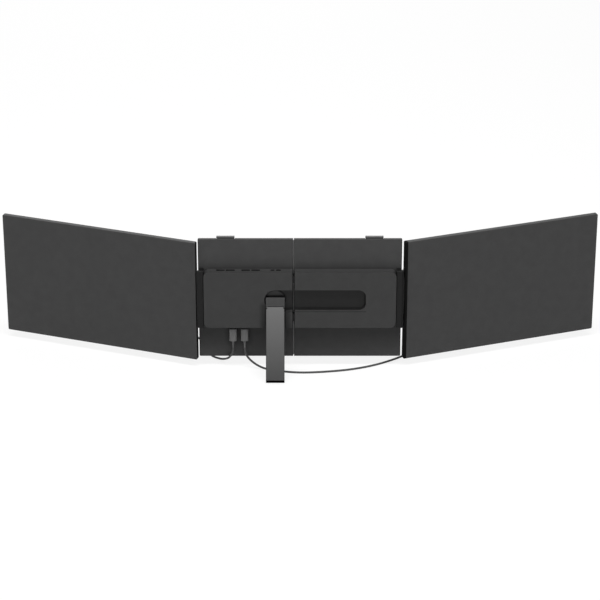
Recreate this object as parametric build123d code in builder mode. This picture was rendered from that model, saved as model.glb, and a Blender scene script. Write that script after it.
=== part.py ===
from build123d import *

import os
from dataclasses import dataclass
from math import cos, pi, radians, sin, sqrt, tan

# Laptop screen extender: a two-plate bracket hangs behind a laptop's lid, carries a
# hub with a kickstand, and holds a side screen on a hinge at each end.
#
# Millimetres.  +X is to the user's left-hand screen as seen from behind, +Y points to
# the rear, +Z up.  The origin lies on the face that touches the lid, in the middle of
# the bracket's width and height.

os.makedirs("parts", exist_ok=True)

# ---------------------------------------------------------------- driving dimensions
# Bracket plates
bracket_width = 309.2
bracket_height = 197.6
bracket_corner = 2.0
seam_x = 9.7                 # the bracket parts here when it is pulled wider
seam_gap = 1.2
sheet_reach = 94.0           # past the seam, so the widened bracket stays closed
sheet_seat = 10.0            # the sheet's foot on the left cover
sheet_height = 168.0
sheet_thickness = 1.0
sheet_lift = 0.4             # clear of the right cover
lip_reach = 2.2              # the sheet's short ends above and below
lip_height = 193.6
plate_depth = 3.2            # rear pan of each plate
plate_wall = 1.6
plate_skin = 1.2
plate_edge = 0.4             # chamfer round the plate's rear face
cover_thickness = 1.2
pad_thickness = 1.2
pad_proud = 0.6              # how far the lid pads stand out of the cover
pad_length = 112.0
pad_height = 24.0
pad_from_edge = 12.0         # from the plate's top or bottom edge
pad_from_side = 14.0         # from the plate's outer edge
pocket_clearance = 0.1

# Hub housing
hub_from_edge = 8.2          # from the bracket's outer edge
hub_length = bracket_width - 2 * hub_from_edge
hub_height = 93.6
hub_z = 2.5
hub_depth = 13.0
hub_wall = 1.6
hub_corner = 9.0
hub_edge = 0.5
rim_groove_width = 1.6       # parting line of the hub's rear face, round its walls
rim_groove_depth = 0.9
rim_groove_y = 15.4
hub_groove = 3.8             # gap between the two hub halves

# Hinge caps at the hub's ends
cap_width = 7.8
cap_gap = 0.2
cap_depth = 11.0
cap_height = 96.0
cap_wall = 1.4
cap_edge = 1.0
wing_front_y = 12.5          # the cap's wing closes the gap behind the screen's edge
left_wing = 2.4              # past the plate's edge
right_wing = 3.0

# Rails that guide the widening bracket
rail_thickness = 4.0
rail_height = 12.0
rail_spacing = 64.0          # between the two rails' middles
rail_y = 9.0
rail_fixed_end = 70.0
rail_free_end = -107.0
rail_seat_length = 12.0
guide_x0 = -60.0
guide_x1 = -6.0
guide_wall = 2.4
rail_clearance = 0.3
width_travel = 80.0
peg_radius = 1.5
peg_inset = 4.0              # peg's middle from the guide's seam end

# Hooks over the lid's top edge
hook_width = 27.4
hook_from_edge = 41.9        # middle of each hook from the bracket's outer edge
hook_x = bracket_width / 2 - hook_from_edge
strip_thickness = 1.4
arm_y = 2.9                  # middle of the strip in the plate
arm_bottom_z = -15.0
claw_radius = 5.5
claw_crest_z = 102.3
finger_tip_z = 95.5
claw_joint_z = 92.8
claw_edge = 0.9
hook_clearance = 0.4
hook_notch = 5.0
tab_width = 12.0
tab_reach = 5.0
spring_diameter = 4.0
spring_wire = 0.5
spring_turns = 12
spring_y = 6.3
spring_top_z = 37.0
rib_thickness = 1.4
spring_rib_width = 9.0

# Push buttons in the hub's top
button_depth = 3.0
button_proud = 0.4
button_y = 9.5
button_travel = 0.4
button_clearance = 0.15
button_flange = 0.8
flange_thickness = 1.1
button_corner = 0.5
button_edge = 0.25
button_stem = 2.2
buttons = {
    "left_brightness_up_button": (120.55, 12.7),
    "left_brightness_down_button": (105.7, 13.4),
    "right_brightness_up_button": (82.35, 12.7),
    "right_brightness_down_button": (67.2, 12.8),
    "left_mode_button": (41.75, 5.7),
    "right_mode_button": (32.4, 6.8),
}
switch_size = 3.6
switch_height = 2.0
plunger_radius = 0.8
plunger_height = 0.5
press_gap = 0.05             # left between stem and plunger when fully pressed
board_thickness = 1.2
button_board_z = 41.2
button_board_depth = 6.6
button_board_margin = 2.0

# Main board and its sockets
main_board_x0 = rail_fixed_end + 4.0
main_board_x1 = hub_length / 2 - 8.4
main_board_top_z = 20.0
main_board_thickness = 1.6
main_board_gap = 3.6         # behind the plates
board_edge_gap = 0.4
post_radius = 2.5
post_inset = 5.0
chip_height = 1.2
socket_x = (102.5, 84.8)
socket_width = 8.94
socket_height = 3.16
socket_wall = 0.3
socket_length = 7.3
tongue_width = 6.6
tongue_thickness = 0.7
tongue_length = 5.6
socket_opening_gap = 0.15
socket_lift = 0.02           # clear of the main board

# Cable plugs
plug_width = 11.4
plug_thickness = 6.5
plug_length = 23.4           # collar and body
collar_width = 9.8           # narrower collar next to the tip
collar_thickness = 5.0
collar_length = 3.5
plug_corner = 2.6
plug_edge = 0.6
plug_standoff = 0.7          # from the hub's underside
tip_width = 8.25
tip_thickness = 2.4
tip_length = 6.4
tip_slot_width = 6.9
tip_slot_thickness = 0.9
relief_diameter = 4.0
relief_length = 12.0

# Kickstand
pivot_x = 37.6
pivot_z = 2.7
recess_radius = 16.7
finger_room = 10.1           # past the foot of the stowed leg
recess_depth = 4.8
recess_floor = 1.6
channel_clearance = 0.4      # each side of the leg
channel_fillet = 5.0
recess_end_corner = 11.0
disc_radius = 15.0
disc_clearance = 1.4
disc_lift = 0.1              # head block over the recess floor
retainer_radius = 18.0
retainer_thickness = 1.3
leg_width = 28.4
leg_thickness = 3.0
leg_length = 115.1
leg_tilt = 25.5
leg_inset = 0.3              # leg's face below the hub's rear face when stowed
foot_length = 3.6
leg_edge = 0.8
foot_edge = 0.5
fold_drop = 12.8             # fold pin below the pivot
head_rise = 4.4              # head block above the pivot
head_corner = 1.0
fold_pin_radius = 0.8
fold_clearance = 0.05
lug_width = 1.6
lug_gap = 0.3
knuckle_reach = 2.4

# Side screens
screen_yaw = 19.46
screen_overhang = 10.6       # a side screen is this much wider than the bracket
screen_width = bracket_width + screen_overhang
screen_height = 197.1
screen_z = -3.55
screen_thickness = 8.0
screen_corner = 2.0
screen_edge = 1.0            # rounding round the rear face
hinge_inset = 6.0            # hinge axis from the screen's inner edge
flat_gap = 0.3               # plate edge to screen edge when opened flat
fold_gap = 0.6               # between the layers when folded shut
bezel_thickness = 1.2
bezel_edge = 1.0
bezel_outer = 5.0
bezel_hinge = 13.4
bezel_top = 4.3
cover_wall = 1.4
cover_skin = 1.4
lcd_thickness = 1.4
lcd_margin = 1.2
layer_gap = 0.05
backlight_thickness = 2.0
driver_board_gap = 0.6
driver_board_length = 110.0
driver_board_height = 46.0
driver_board_thickness = 1.0
driver_board_u = 40.0
edge_strip_width = 4.6

# Screen hinges
left_axis_y = 0.97
right_axis_y = -4.74
hinge_zone = 86.0            # height over both stations
knuckle_length = 12.0
washer_thickness = 1.0
knuckle_radius = 2.2
hinge_pin_radius = 1.1
hinge_clearance = 0.05
pin_head_radius = 1.9
pin_head_thickness = 0.7
pin_end_gap = 0.15
bracket_plate_length = 25.0
bracket_plate_x0 = bracket_width / 2 - bracket_plate_length
bracket_plate_inset = 3.1    # bracket's plate from the pan's outer edge
bracket_plate_gap = 0.15
cover_notch = 4.6            # cut out of the front cover for the arms
slot_half_width = 2.8
slot_extra = 2.0
leaf_thickness = 1.4
leaf_gap = 0.1
leaf_inner = 1.6             # leaf's edge from the screen's inner edge
leaf_outer_u = 5.4
leaf_neck = 1.6
arm_clearance = 0.17
arm_inset = 0.1             # arm's outer side from the plate's edge
arm_neck = 0.9              # straight part of the right arm past its narrowest place

# Cover screws
screw_radius = 0.9
screw_head_radius = 1.8
screw_head_thickness = 0.7
screw_head_sink = 0.05
screw_length = 2.6
boss_radius = 2.2
boss_clearance = 0.3
screw_gap = 0.05
screw_edge = 7.0
screw_top = 8.0
hinge_screw_x = bracket_width / 2 - 15.0
hinge_screw_z = 32.0

# Cables
cable_diameter = 3.2
coil_mean_diameter = 38.4
coil_layers = 2
coil_1_columns = 4
coil_2_columns = 3
corner_share = 0.45          # of the shorter run that a corner's arc may take up

# ------------------------------------------------------------------- derived places
cover_front_y = pad_proud
cover_rear_y = cover_front_y + cover_thickness
plate_rear_y = cover_rear_y + plate_depth
skin_front_y = plate_rear_y - plate_skin
hub_rear_y = plate_rear_y + hub_depth
hub_inner_y = hub_rear_y - hub_wall
hub_top_z = hub_z + hub_height / 2
hub_bottom_z = hub_z - hub_height / 2
hub_roof_z = hub_top_z - hub_wall
floor_rear_y = hub_rear_y - recess_depth
floor_front_y = floor_rear_y - recess_floor
channel_half = leg_width / 2 + channel_clearance
rail_zs = (hub_z + rail_spacing / 2, hub_z - rail_spacing / 2)
hinge_z0 = hub_z - hinge_zone / 2
hinge_z1 = hub_z + hinge_zone / 2
station_gap = knuckle_length + washer_thickness
bracket_knuckles = ((hinge_z0, hinge_z0 + knuckle_length), (hinge_z1 - knuckle_length, hinge_z1))
leaf_knuckles = (
    (hinge_z0 + station_gap, hinge_z0 + station_gap + knuckle_length),
    (hinge_z1 - station_gap - knuckle_length, hinge_z1 - station_gap),
)
switch_top_z = button_board_z + board_thickness + switch_height + plunger_height
stem_bottom_z = switch_top_z + button_travel + press_gap
claw_z = claw_crest_z - claw_radius
claw_y = arm_y + strip_thickness / 2 - claw_radius
main_board_y0 = plate_rear_y + main_board_gap
main_board_y1 = main_board_y0 + main_board_thickness
socket_y = main_board_y1 + socket_height / 2 + socket_lift
fold_y = hub_rear_y - leg_inset - leg_thickness / 2
fold_z = pivot_z - fold_drop
recess_end_x = pivot_x - fold_drop - leg_length - finger_room
# the surface under the kickstand's foot
desk_z = fold_z - leg_length * cos(radians(leg_tilt)) - leg_thickness / 2 * sin(radians(leg_tilt))
on_desk = desk_z + cable_diameter / 2


@dataclass(frozen=True)
class Side:
    """One end of the object: its sign along X and the place of its screen hinge."""

    name: str
    sign: int
    axis_y: float
    face_v: float            # from the hinge axis to the display face
    wing: float              # hinge cap's reach past the plate's edge

    @property
    def outer_x(self):
        return self.sign * bracket_width / 2

    @property
    def seam_plate_x(self):
        return seam_x + self.sign * seam_gap / 2

    @property
    def seam_hub_x(self):
        return seam_x + self.sign * hub_groove / 2

    @property
    def axis_x(self):
        return self.sign * (bracket_width / 2 + flat_gap + hinge_inset)

    @property
    def outward(self):
        """Direction from the hinge out along the screen."""
        yaw = radians(screen_yaw)
        return Vector(self.sign * cos(yaw), -sin(yaw), 0)

    @property
    def rearward(self):
        """Direction through the screen, from the display face to its back."""
        yaw = radians(screen_yaw)
        return Vector(self.sign * sin(yaw), cos(yaw), 0)

    @property
    def hinge_plane(self):
        """Level plane at the hinge axis, with x outward along the screen."""
        return Plane(origin=(self.axis_x, self.axis_y, 0), x_dir=self.outward, z_dir=(0, 0, 1))

    def sheet(self, v):
        """Upright plane v behind the display face: local x runs outward and y up."""
        origin = Vector(self.axis_x, self.axis_y, 0) + self.rearward * (self.face_v + v)
        return Plane(origin=origin, x_dir=self.outward, z_dir=self.rearward * -self.sign)


left = Side("left", 1, left_axis_y, left_axis_y + fold_gap, left_wing)
right = Side("right", -1, right_axis_y, right_axis_y + 2 * fold_gap + screen_thickness, right_wing)


# ---------------------------------------------------------------------- small helpers
def rear_plane(y):
    """Upright plane at depth y: local x and y are X and Z, and extrusion runs forward."""
    return Plane.XZ.offset(-y)


def block(x0, x1, y0, y1, z0, z1, mode=Mode.ADD):
    """A box between two limits on each axis of the part being built."""
    with Locations(((x0 + x1) / 2, (y0 + y1) / 2, (z0 + z1) / 2)):
        Box(abs(x1 - x0), abs(y1 - y0), abs(z1 - z0), mode=mode)


def panel(x0, x1, z0, z1, mode=Mode.ADD):
    """A rectangle between two limits on each axis of the sketch being drawn."""
    with Locations(((x0 + x1) / 2, (z0 + z1) / 2)):
        Rectangle(abs(x1 - x0), abs(z1 - z0), mode=mode)


def rod(x, y, z0, z1, radius, mode=Mode.ADD):
    """An upright cylinder between two heights."""
    with Locations((x, y, (z0 + z1) / 2)):
        Cylinder(radius, abs(z1 - z0), mode=mode)


def depth_rod(x, z, y0, y1, radius, mode=Mode.ADD):
    """A cylinder that runs front to rear."""
    with Locations((x, (y0 + y1) / 2, z)):
        Cylinder(radius, abs(y1 - y0), rotation=(90, 0, 0), mode=mode)


def cross_rod(x0, x1, y, z, radius, mode=Mode.ADD):
    """A cylinder that runs along X."""
    with Locations(((x0 + x1) / 2, y, z)):
        Cylinder(radius, abs(x1 - x0), rotation=(0, 90, 0), mode=mode)


def save(builder, label):
    """Name the finished piece and write its file."""
    builder.part.label = label
    export_step(builder.part, f"parts/{label}.step")


# ----------------------------------------------------------------------- the bracket
def hook_range(side, clearance=0.0):
    """X limits of the hook on one side."""
    half = hook_width / 2 + clearance
    return side.sign * hook_x - half, side.sign * hook_x + half


def screw_places(side):
    """(x, z) of the cover screws on one side."""
    outer = side.sign * (bracket_width / 2 - screw_edge)
    inner = side.seam_plate_x + side.sign * screw_edge
    high = bracket_height / 2 - screw_top
    hinge = side.sign * hinge_screw_x
    corners = [(x, z) for x in (outer, inner) for z in (high, -high)]
    return corners + [(hinge, hub_z + hinge_screw_z), (hinge, hub_z - hinge_screw_z)]


def outer_corners(sketch, side):
    """The two corners of a plate's outline that lie away from the seam."""
    return sketch.vertices().group_by(Axis.X)[-1 if side.sign > 0 else 0]


def back_plate(side):
    """Flat pan behind the lid; on the left it also carries the main board and rails."""
    x0, x1 = side.seam_plate_x, side.outer_x
    high = bracket_height / 2
    hook0, hook1 = hook_range(side, hook_clearance)
    with BuildPart() as plate:
        with BuildSketch(rear_plane(plate_rear_y)) as outline:
            panel(x0, x1, -high, high)
            fillet(outer_corners(outline, side), bracket_corner)
        extrude(amount=plate_depth)
        chamfer(plate.faces().sort_by(Axis.Y)[-1].edges(), plate_edge)
        with BuildSketch(rear_plane(skin_front_y)):
            inset = side.sign * plate_wall
            panel(x0 + inset, x1 - inset, plate_wall - high, high - plate_wall)
        extrude(amount=plate_depth - plate_skin, mode=Mode.SUBTRACT)
        for x, z in screw_places(side):
            depth_rod(x, z, cover_rear_y, skin_front_y, boss_radius)
            depth_rod(x, z, cover_rear_y, plate_rear_y - plate_skin / 2,
                      screw_radius + screw_gap, Mode.SUBTRACT)
        # slot for the hook strip, and the window that its tab runs in
        block(hook0, hook1, cover_rear_y, skin_front_y, high - 2 * plate_wall, high, Mode.SUBTRACT)
        window = tab_width / 2 + hook_clearance
        centre = side.sign * hook_x
        window_z0 = arm_bottom_z - rib_thickness - hook_clearance
        block(centre - window, centre + window, skin_front_y, plate_rear_y,
              window_z0, spring_top_z, Mode.SUBTRACT)
        # way through the seam wall for the sheet
        half = lip_height / 2 + pocket_clearance
        block(x0, x0 + inset, cover_rear_y, skin_front_y, -half, half, Mode.SUBTRACT)
        # notch in the side wall for the hinge bracket
        block(x1 - 2 * inset, x1, cover_rear_y, skin_front_y,
              hinge_z0 - slot_extra, hinge_z1 + slot_extra, Mode.SUBTRACT)
        if side is left:
            main_board_posts()
            for z in rail_zs:
                block(rail_fixed_end - rail_seat_length, rail_fixed_end, plate_rear_y,
                      rail_y - rail_thickness / 2, z - rail_height / 2, z + rail_height / 2)
    save(plate, f"{side.name}_back_plate")


def main_board_posts():
    """Four posts under the corners of the main board."""
    low = hub_bottom_z + hub_wall + board_edge_gap + post_inset
    for x in (main_board_x0 + post_inset, main_board_x1 - post_inset):
        for z in (low, main_board_top_z - post_inset):
            depth_rod(x, z, plate_rear_y, main_board_y0, post_radius)


def pad_panels(side, grow=0.0):
    """Draw the outlines of the two lid pads of one side."""
    x1 = side.outer_x - side.sign * pad_from_side
    x0 = x1 - side.sign * pad_length
    for z in (1, -1):
        edge = z * (bracket_height / 2 - pad_from_edge - hook_notch)
        with Locations(((x0 + x1) / 2, edge - z * pad_height / 2)):
            RectangleRounded(pad_length + 2 * grow, pad_height + 2 * grow, bracket_corner)


def front_cover(side):
    """Thin cover that closes the pan towards the lid."""
    x0, x1 = side.seam_plate_x, side.outer_x
    high = bracket_height / 2
    hook0, hook1 = hook_range(side, hook_clearance)
    cut_x = side.outer_x - side.sign * cover_notch
    with BuildPart() as cover:
        with BuildSketch(rear_plane(cover_rear_y)) as outline:
            panel(x0, x1, -high, high)
            fillet(outer_corners(outline, side), bracket_corner)
            panel(hook0, hook1, high - hook_notch, high, Mode.SUBTRACT)
            panel(cut_x, x1, hinge_z0 - slot_extra, hinge_z1 + slot_extra, Mode.SUBTRACT)
        extrude(amount=cover_thickness)
        with BuildSketch(rear_plane(pad_thickness)):
            pad_panels(side, pocket_clearance)
        extrude(amount=pad_thickness - cover_front_y, mode=Mode.SUBTRACT)
        for x, z in screw_places(side):
            depth_rod(x, z, cover_front_y, cover_rear_y, screw_radius + screw_gap, Mode.SUBTRACT)
            depth_rod(x, z, cover_front_y, cover_front_y + screw_head_thickness + screw_head_sink,
                      screw_head_radius + screw_gap, Mode.SUBTRACT)
        if side is left:
            seam_sheet()
    save(cover, f"{side.name}_front_cover")


def seam_sheet():
    """Sheet on the left cover that reaches into the right pan and closes the seam."""
    low, high = -sheet_height / 2, sheet_height / 2
    y0 = cover_rear_y + sheet_lift
    seat_x = left.seam_plate_x + sheet_seat
    block(left.seam_plate_x, seat_x, cover_rear_y, y0, low, high)
    block(right.seam_plate_x - sheet_reach, seat_x, y0, y0 + sheet_thickness, low, high)
    block(right.seam_plate_x - lip_reach, left.seam_plate_x + lip_reach, y0, y0 + sheet_thickness,
          -lip_height / 2, lip_height / 2)


def cover_screws(side):
    """The screws that hold the cover to the pan's bosses."""
    head_y = cover_front_y + screw_head_sink
    with BuildPart() as screws:
        for x, z in screw_places(side):
            depth_rod(x, z, head_y, head_y + screw_head_thickness, screw_head_radius)
            depth_rod(x, z, head_y, head_y + screw_length, screw_radius)
            depth_rod(x, z, head_y, head_y + screw_head_thickness / 2, screw_radius / 2, Mode.SUBTRACT)
    save(screws, f"{side.name}_cover_screws")


def lid_pads(side):
    """Rubber pads that touch the lid."""
    with BuildPart() as pads:
        with BuildSketch(rear_plane(pad_thickness)):
            pad_panels(side)
        extrude(amount=pad_thickness)
    save(pads, f"{side.name}_lid_pads")


for side in (left, right):
    back_plate(side)
    front_cover(side)
    cover_screws(side)
    lid_pads(side)


# ----------------------------------------------------------------------------- the hub
def recess_panel(grow=0.0):
    """Draw the kickstand's recess: a long round-ended pocket and the way down for the leg."""
    radius = recess_radius + grow
    end_x = recess_end_x + recess_radius
    with Locations((pivot_x, pivot_z)):
        Circle(radius)
    with Locations((end_x, pivot_z)):
        RectangleRounded(2 * radius, 2 * radius, recess_end_corner + grow)
    panel(end_x, pivot_x, pivot_z - radius, pivot_z + radius)
    panel(pivot_x - channel_half - grow, pivot_x + channel_half + grow, hub_bottom_z, pivot_z)


def hub_panel(side, inset=0.0):
    """Draw one half of the hub's outline, set in by a wall."""
    length = hub_length - 2 * inset
    RectangleRounded(length, hub_height - 2 * inset, hub_corner - inset)
    far = -side.sign * bracket_width
    seam = side.seam_hub_x + side.sign * inset
    panel(far, seam, -hub_height, hub_height, Mode.SUBTRACT)


def recess_corner(sketch):
    """The corner between the recess's lower edge and the leg's way down."""
    corner = (pivot_x - channel_half, pivot_z - recess_radius, 0)
    return sketch.vertices().sort_by_distance(corner)[0]


def hub_shell(side):
    """Half of the raised housing on the plates, with its share of the kickstand's recess."""
    seam = side.seam_hub_x
    far = -side.sign * bracket_width
    with BuildPart() as shell:
        with BuildSketch(rear_plane(hub_rear_y)):
            with Locations((0, hub_z)):
                hub_panel(side)
        extrude(amount=hub_depth)
        rear_rim = shell.faces().sort_by(Axis.Y)[-1].outer_wire().edges()
        fillet(rear_rim.filter_by(lambda e: abs(e.center().X - seam) > hub_edge), hub_edge)
        with BuildSketch(rear_plane(hub_inner_y)):
            with Locations((0, hub_z)):
                hub_panel(side, hub_wall)
        extrude(amount=hub_depth - hub_wall, mode=Mode.SUBTRACT)
        with BuildSketch(rear_plane(rim_groove_y + rim_groove_width)):
            with Locations((0, hub_z)):
                RectangleRounded(hub_length + hub_wall, hub_height + hub_wall, hub_corner)
                RectangleRounded(hub_length - 2 * rim_groove_depth, hub_height - 2 * rim_groove_depth,
                                 hub_corner - rim_groove_depth, mode=Mode.SUBTRACT)
        extrude(amount=rim_groove_width, mode=Mode.SUBTRACT)
        # the tub around the recess, then the recess itself
        with BuildSketch(rear_plane(hub_inner_y)) as tub:
            recess_panel(hub_wall)
            panel(far, seam, -hub_height, hub_height, Mode.SUBTRACT)
        extrude(amount=hub_inner_y - floor_front_y)
        with BuildSketch(rear_plane(hub_rear_y)) as pocket:
            recess_panel()
            fillet(recess_corner(pocket), channel_fillet)
        extrude(amount=recess_depth, mode=Mode.SUBTRACT)
        # seam-end holes for the rails
        for z in rail_zs:
            gap = 0.0 if side is left else rail_clearance
            block(seam, seam + side.sign * hub_wall, rail_y - rail_thickness / 2 - gap,
                  rail_y + rail_thickness / 2 + gap, z - rail_height / 2 - gap,
                  z + rail_height / 2 + gap, Mode.SUBTRACT)
        # rib that the hook's spring pushes against
        centre = side.sign * hook_x
        block(centre - spring_rib_width / 2, centre + spring_rib_width / 2, plate_rear_y, hub_inner_y,
              spring_top_z, spring_top_z + rib_thickness)
        if side is left:
            left_hub_details()
    save(shell, f"{side.name}_hub_shell")


def left_hub_details():
    """Stand hole, rail seats, button holes, board ledges and socket openings."""
    reach = disc_radius + disc_clearance
    depth_rod(pivot_x, pivot_z, floor_front_y, floor_rear_y, reach, Mode.SUBTRACT)
    for z in rail_zs:
        block(rail_fixed_end - rail_seat_length, rail_fixed_end, rail_y + rail_thickness / 2,
              hub_inner_y, z - rail_height / 2, z + rail_height / 2)
    for x, width in buttons.values():
        half = width / 2 + button_clearance
        half_depth = button_depth / 2 + button_clearance
        block(x - half, x + half, button_y - half_depth, button_y + half_depth,
              hub_roof_z, hub_top_z, Mode.SUBTRACT)
    board_x0, board_x1 = button_board_limits()
    for x in (board_x0, board_x1 - button_board_margin):
        block(x, x + button_board_margin, button_y + button_board_depth / 2 - rib_thickness, hub_inner_y,
              button_board_z - rib_thickness, button_board_z)
    for x in socket_x:
        half = socket_width / 2 + socket_opening_gap
        half_depth = socket_height / 2 + socket_opening_gap
        block(x - half, x + half, socket_y - half_depth, socket_y + half_depth,
              hub_bottom_z, hub_bottom_z + hub_wall, Mode.SUBTRACT)


def button_board_limits():
    """X limits of the button board: past the first and last button by a margin."""
    starts = [x - width / 2 for x, width in buttons.values()]
    ends = [x + width / 2 for x, width in buttons.values()]
    return min(starts) - button_board_margin, max(ends) + button_board_margin


def hinge_cap(side):
    """Dark cap over the hinge bracket at the hub's end."""
    x0 = side.sign * (hub_length / 2 + cap_gap)
    x1 = x0 + side.sign * cap_width
    low, high = hub_z - cap_height / 2, hub_z + cap_height / 2
    inset = side.sign * cap_wall
    with BuildPart() as cap:
        block(x0, x1, plate_rear_y, plate_rear_y + cap_depth, low, high)
        block(x1, side.outer_x + side.sign * side.wing, wing_front_y, plate_rear_y + cap_depth, low, high)
        rear = cap.faces().sort_by(Axis.Y)[-1]
        fillet(rear.edges(), cap_edge)
        block(x0 + inset, x1 - inset, plate_rear_y, plate_rear_y + cap_depth - cap_wall,
              low + cap_wall, high - cap_wall, Mode.SUBTRACT)
    save(cap, f"{side.name}_hinge_cap")


for side in (left, right):
    hub_shell(side)
    hinge_cap(side)

# --------------------------------------------------------------------------- the rails
peg_x = guide_x1 - peg_inset
slot_grow = peg_radius + rail_clearance

with BuildPart() as guide_rails:
    for z in rail_zs:
        block(rail_free_end, rail_fixed_end, rail_y - rail_thickness / 2, rail_y + rail_thickness / 2,
              z - rail_height / 2, z + rail_height / 2)
        with BuildSketch(rear_plane(rail_y + rail_thickness / 2)):
            with Locations((peg_x - width_travel / 2, z)):
                SlotCenterToCenter(width_travel, 2 * slot_grow)
        extrude(amount=rail_thickness, mode=Mode.SUBTRACT)
save(guide_rails, "guide_rails")

with BuildPart() as rail_guides:
    gap = rail_clearance
    for z in rail_zs:
        tall = rail_height / 2 + gap + guide_wall
        block(guide_x0, guide_x1, plate_rear_y, hub_inner_y, z - tall, z + tall)
        block(guide_x0, guide_x1, rail_y - rail_thickness / 2 - gap, rail_y + rail_thickness / 2 + gap,
              z - rail_height / 2 - gap, z + rail_height / 2 + gap, Mode.SUBTRACT)
        depth_rod(peg_x, z, plate_rear_y, hub_inner_y, peg_radius)
save(rail_guides, "rail_guides")


# --------------------------------------------------------------------------- the hooks
def hook_claw(side):
    """Metal claw that curls over the lid's top edge."""
    x0, x1 = hook_range(side)
    inner = claw_radius - strip_thickness
    with BuildPart() as claw:
        with BuildSketch(Plane.YZ.offset(x0)):
            with Locations((claw_y, claw_z)):
                Circle(claw_radius)
                Circle(inner, mode=Mode.SUBTRACT)
            panel(claw_y - claw_radius, claw_y + claw_radius, claw_z - claw_radius, claw_z, Mode.SUBTRACT)
            panel(claw_y - claw_radius, claw_y - inner, finger_tip_z, claw_z)
            panel(claw_y + inner, claw_y + claw_radius, claw_joint_z, claw_z)
        extrude(amount=x1 - x0)
        arcs = claw.edges().filter_by(GeomType.CIRCLE)
        fillet(arcs.filter_by(lambda arc: arc.radius > inner + strip_thickness / 2), claw_edge)
    save(claw, f"{side.name}_hook_claw")


def hook_arm(side):
    """Strip that slides in the plate, with the tab that its spring holds down."""
    x0, x1 = hook_range(side)
    centre = (x0 + x1) / 2
    front, rear = arm_y - strip_thickness / 2, arm_y + strip_thickness / 2
    with BuildPart() as arm:
        block(x0, x1, front, rear, arm_bottom_z - rib_thickness, claw_joint_z)
        block(centre - tab_width / 2, centre + tab_width / 2, rear, rear + tab_reach,
              arm_bottom_z - rib_thickness, arm_bottom_z)
    save(arm, f"{side.name}_hook_arm")


def hook_spring(side):
    """Compression spring between the hook's tab and the rib in the hub."""
    coil_radius = (spring_diameter - spring_wire) / 2
    low = arm_bottom_z + spring_wire / 2
    high = spring_top_z - spring_wire / 2
    pitch = (high - low) / spring_turns
    centre = (side.sign * hook_x, spring_y, low)
    with BuildPart() as spring:
        with BuildLine(Plane(origin=centre)) as path:
            Helix(pitch, high - low, coil_radius)
        helix = path.wire()
        with BuildSketch(Plane(origin=helix @ 0, z_dir=helix % 0)):
            Circle(spring_wire / 2)
        sweep(path=helix)
    save(spring, f"{side.name}_hook_spring")


for side in (left, right):
    hook_claw(side)
    hook_arm(side)
    hook_spring(side)


# ------------------------------------------------------------------ buttons and boards
def push_button(label, x, width):
    """A cap in the hub's roof with a flange under it and a stem over its switch."""
    top = hub_top_z + button_proud
    flange_top = hub_roof_z - press_gap
    with BuildPart() as button:
        block(x - width / 2, x + width / 2, button_y - button_depth / 2, button_y + button_depth / 2,
              flange_top, top)
        fillet(button.edges().filter_by(Axis.Z), button_corner)
        fillet(button.faces().sort_by(Axis.Z)[-1].edges(), button_edge)
        wide, deep = width / 2 + button_flange, button_depth / 2 + button_flange
        block(x - wide, x + wide, button_y - deep, button_y + deep, flange_top - flange_thickness, flange_top)
        rod(x, button_y, stem_bottom_z, flange_top, button_stem / 2)
    save(button, label)


for label, (x, width) in buttons.items():
    push_button(label, x, width)

board_x0, board_x1 = button_board_limits()
with BuildPart() as button_board:
    block(board_x0, board_x1, button_y - button_board_depth / 2, button_y + button_board_depth / 2,
          button_board_z, button_board_z + board_thickness)
save(button_board, "button_board")

with BuildPart() as tact_switches:
    base = button_board_z + board_thickness
    for x, _ in buttons.values():
        block(x - switch_size / 2, x + switch_size / 2, button_y - switch_size / 2,
              button_y + switch_size / 2, base, base + switch_height)
        rod(x, button_y, base + switch_height, switch_top_z, plunger_radius)
save(tact_switches, "tact_switches")

main_board_z0 = hub_bottom_z + hub_wall + board_edge_gap
# chips on the board: middle x and z, width and height
chips = (
    (main_board_x0 + 20.0, -14.0, 12.0, 12.0),
    (main_board_x1 - 18.0, -14.0, 9.0, 9.0),
    (main_board_x1 - 18.0, 6.0, 14.0, 7.0),
    (main_board_x0 + 16.0, 8.0, 7.0, 5.0),
)
with BuildPart() as main_board:
    block(main_board_x0, main_board_x1, main_board_y0, main_board_y1, main_board_z0, main_board_top_z)
    for x, z, wide, tall in chips:
        block(x - wide / 2, x + wide / 2, main_board_y1, main_board_y1 + chip_height,
              z - tall / 2, z + tall / 2)
save(main_board, "main_board")

with BuildPart() as usb_sockets:
    for x in socket_x:
        top = hub_bottom_z + socket_length
        with BuildSketch(Plane.XY.offset(hub_bottom_z)):
            with Locations((x, socket_y)):
                SlotOverall(socket_width, socket_height)
        extrude(amount=socket_length)
        with BuildSketch(Plane.XY.offset(hub_bottom_z)):
            with Locations((x, socket_y)):
                SlotOverall(socket_width - 2 * socket_wall, socket_height - 2 * socket_wall)
        extrude(amount=socket_length - socket_wall, mode=Mode.SUBTRACT)
        block(x - tongue_width / 2, x + tongue_width / 2, socket_y - tongue_thickness / 2,
              socket_y + tongue_thickness / 2, top - socket_wall - tongue_length, top - socket_wall)
save(usb_sockets, "usb_sockets")

# ----------------------------------------------------------------------- the kickstand
head_front_y = floor_rear_y + disc_lift
head_rear_y = fold_y + leg_thickness / 2
lug_outer = leg_width / 2
lug_inner = lug_outer - lug_width

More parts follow.
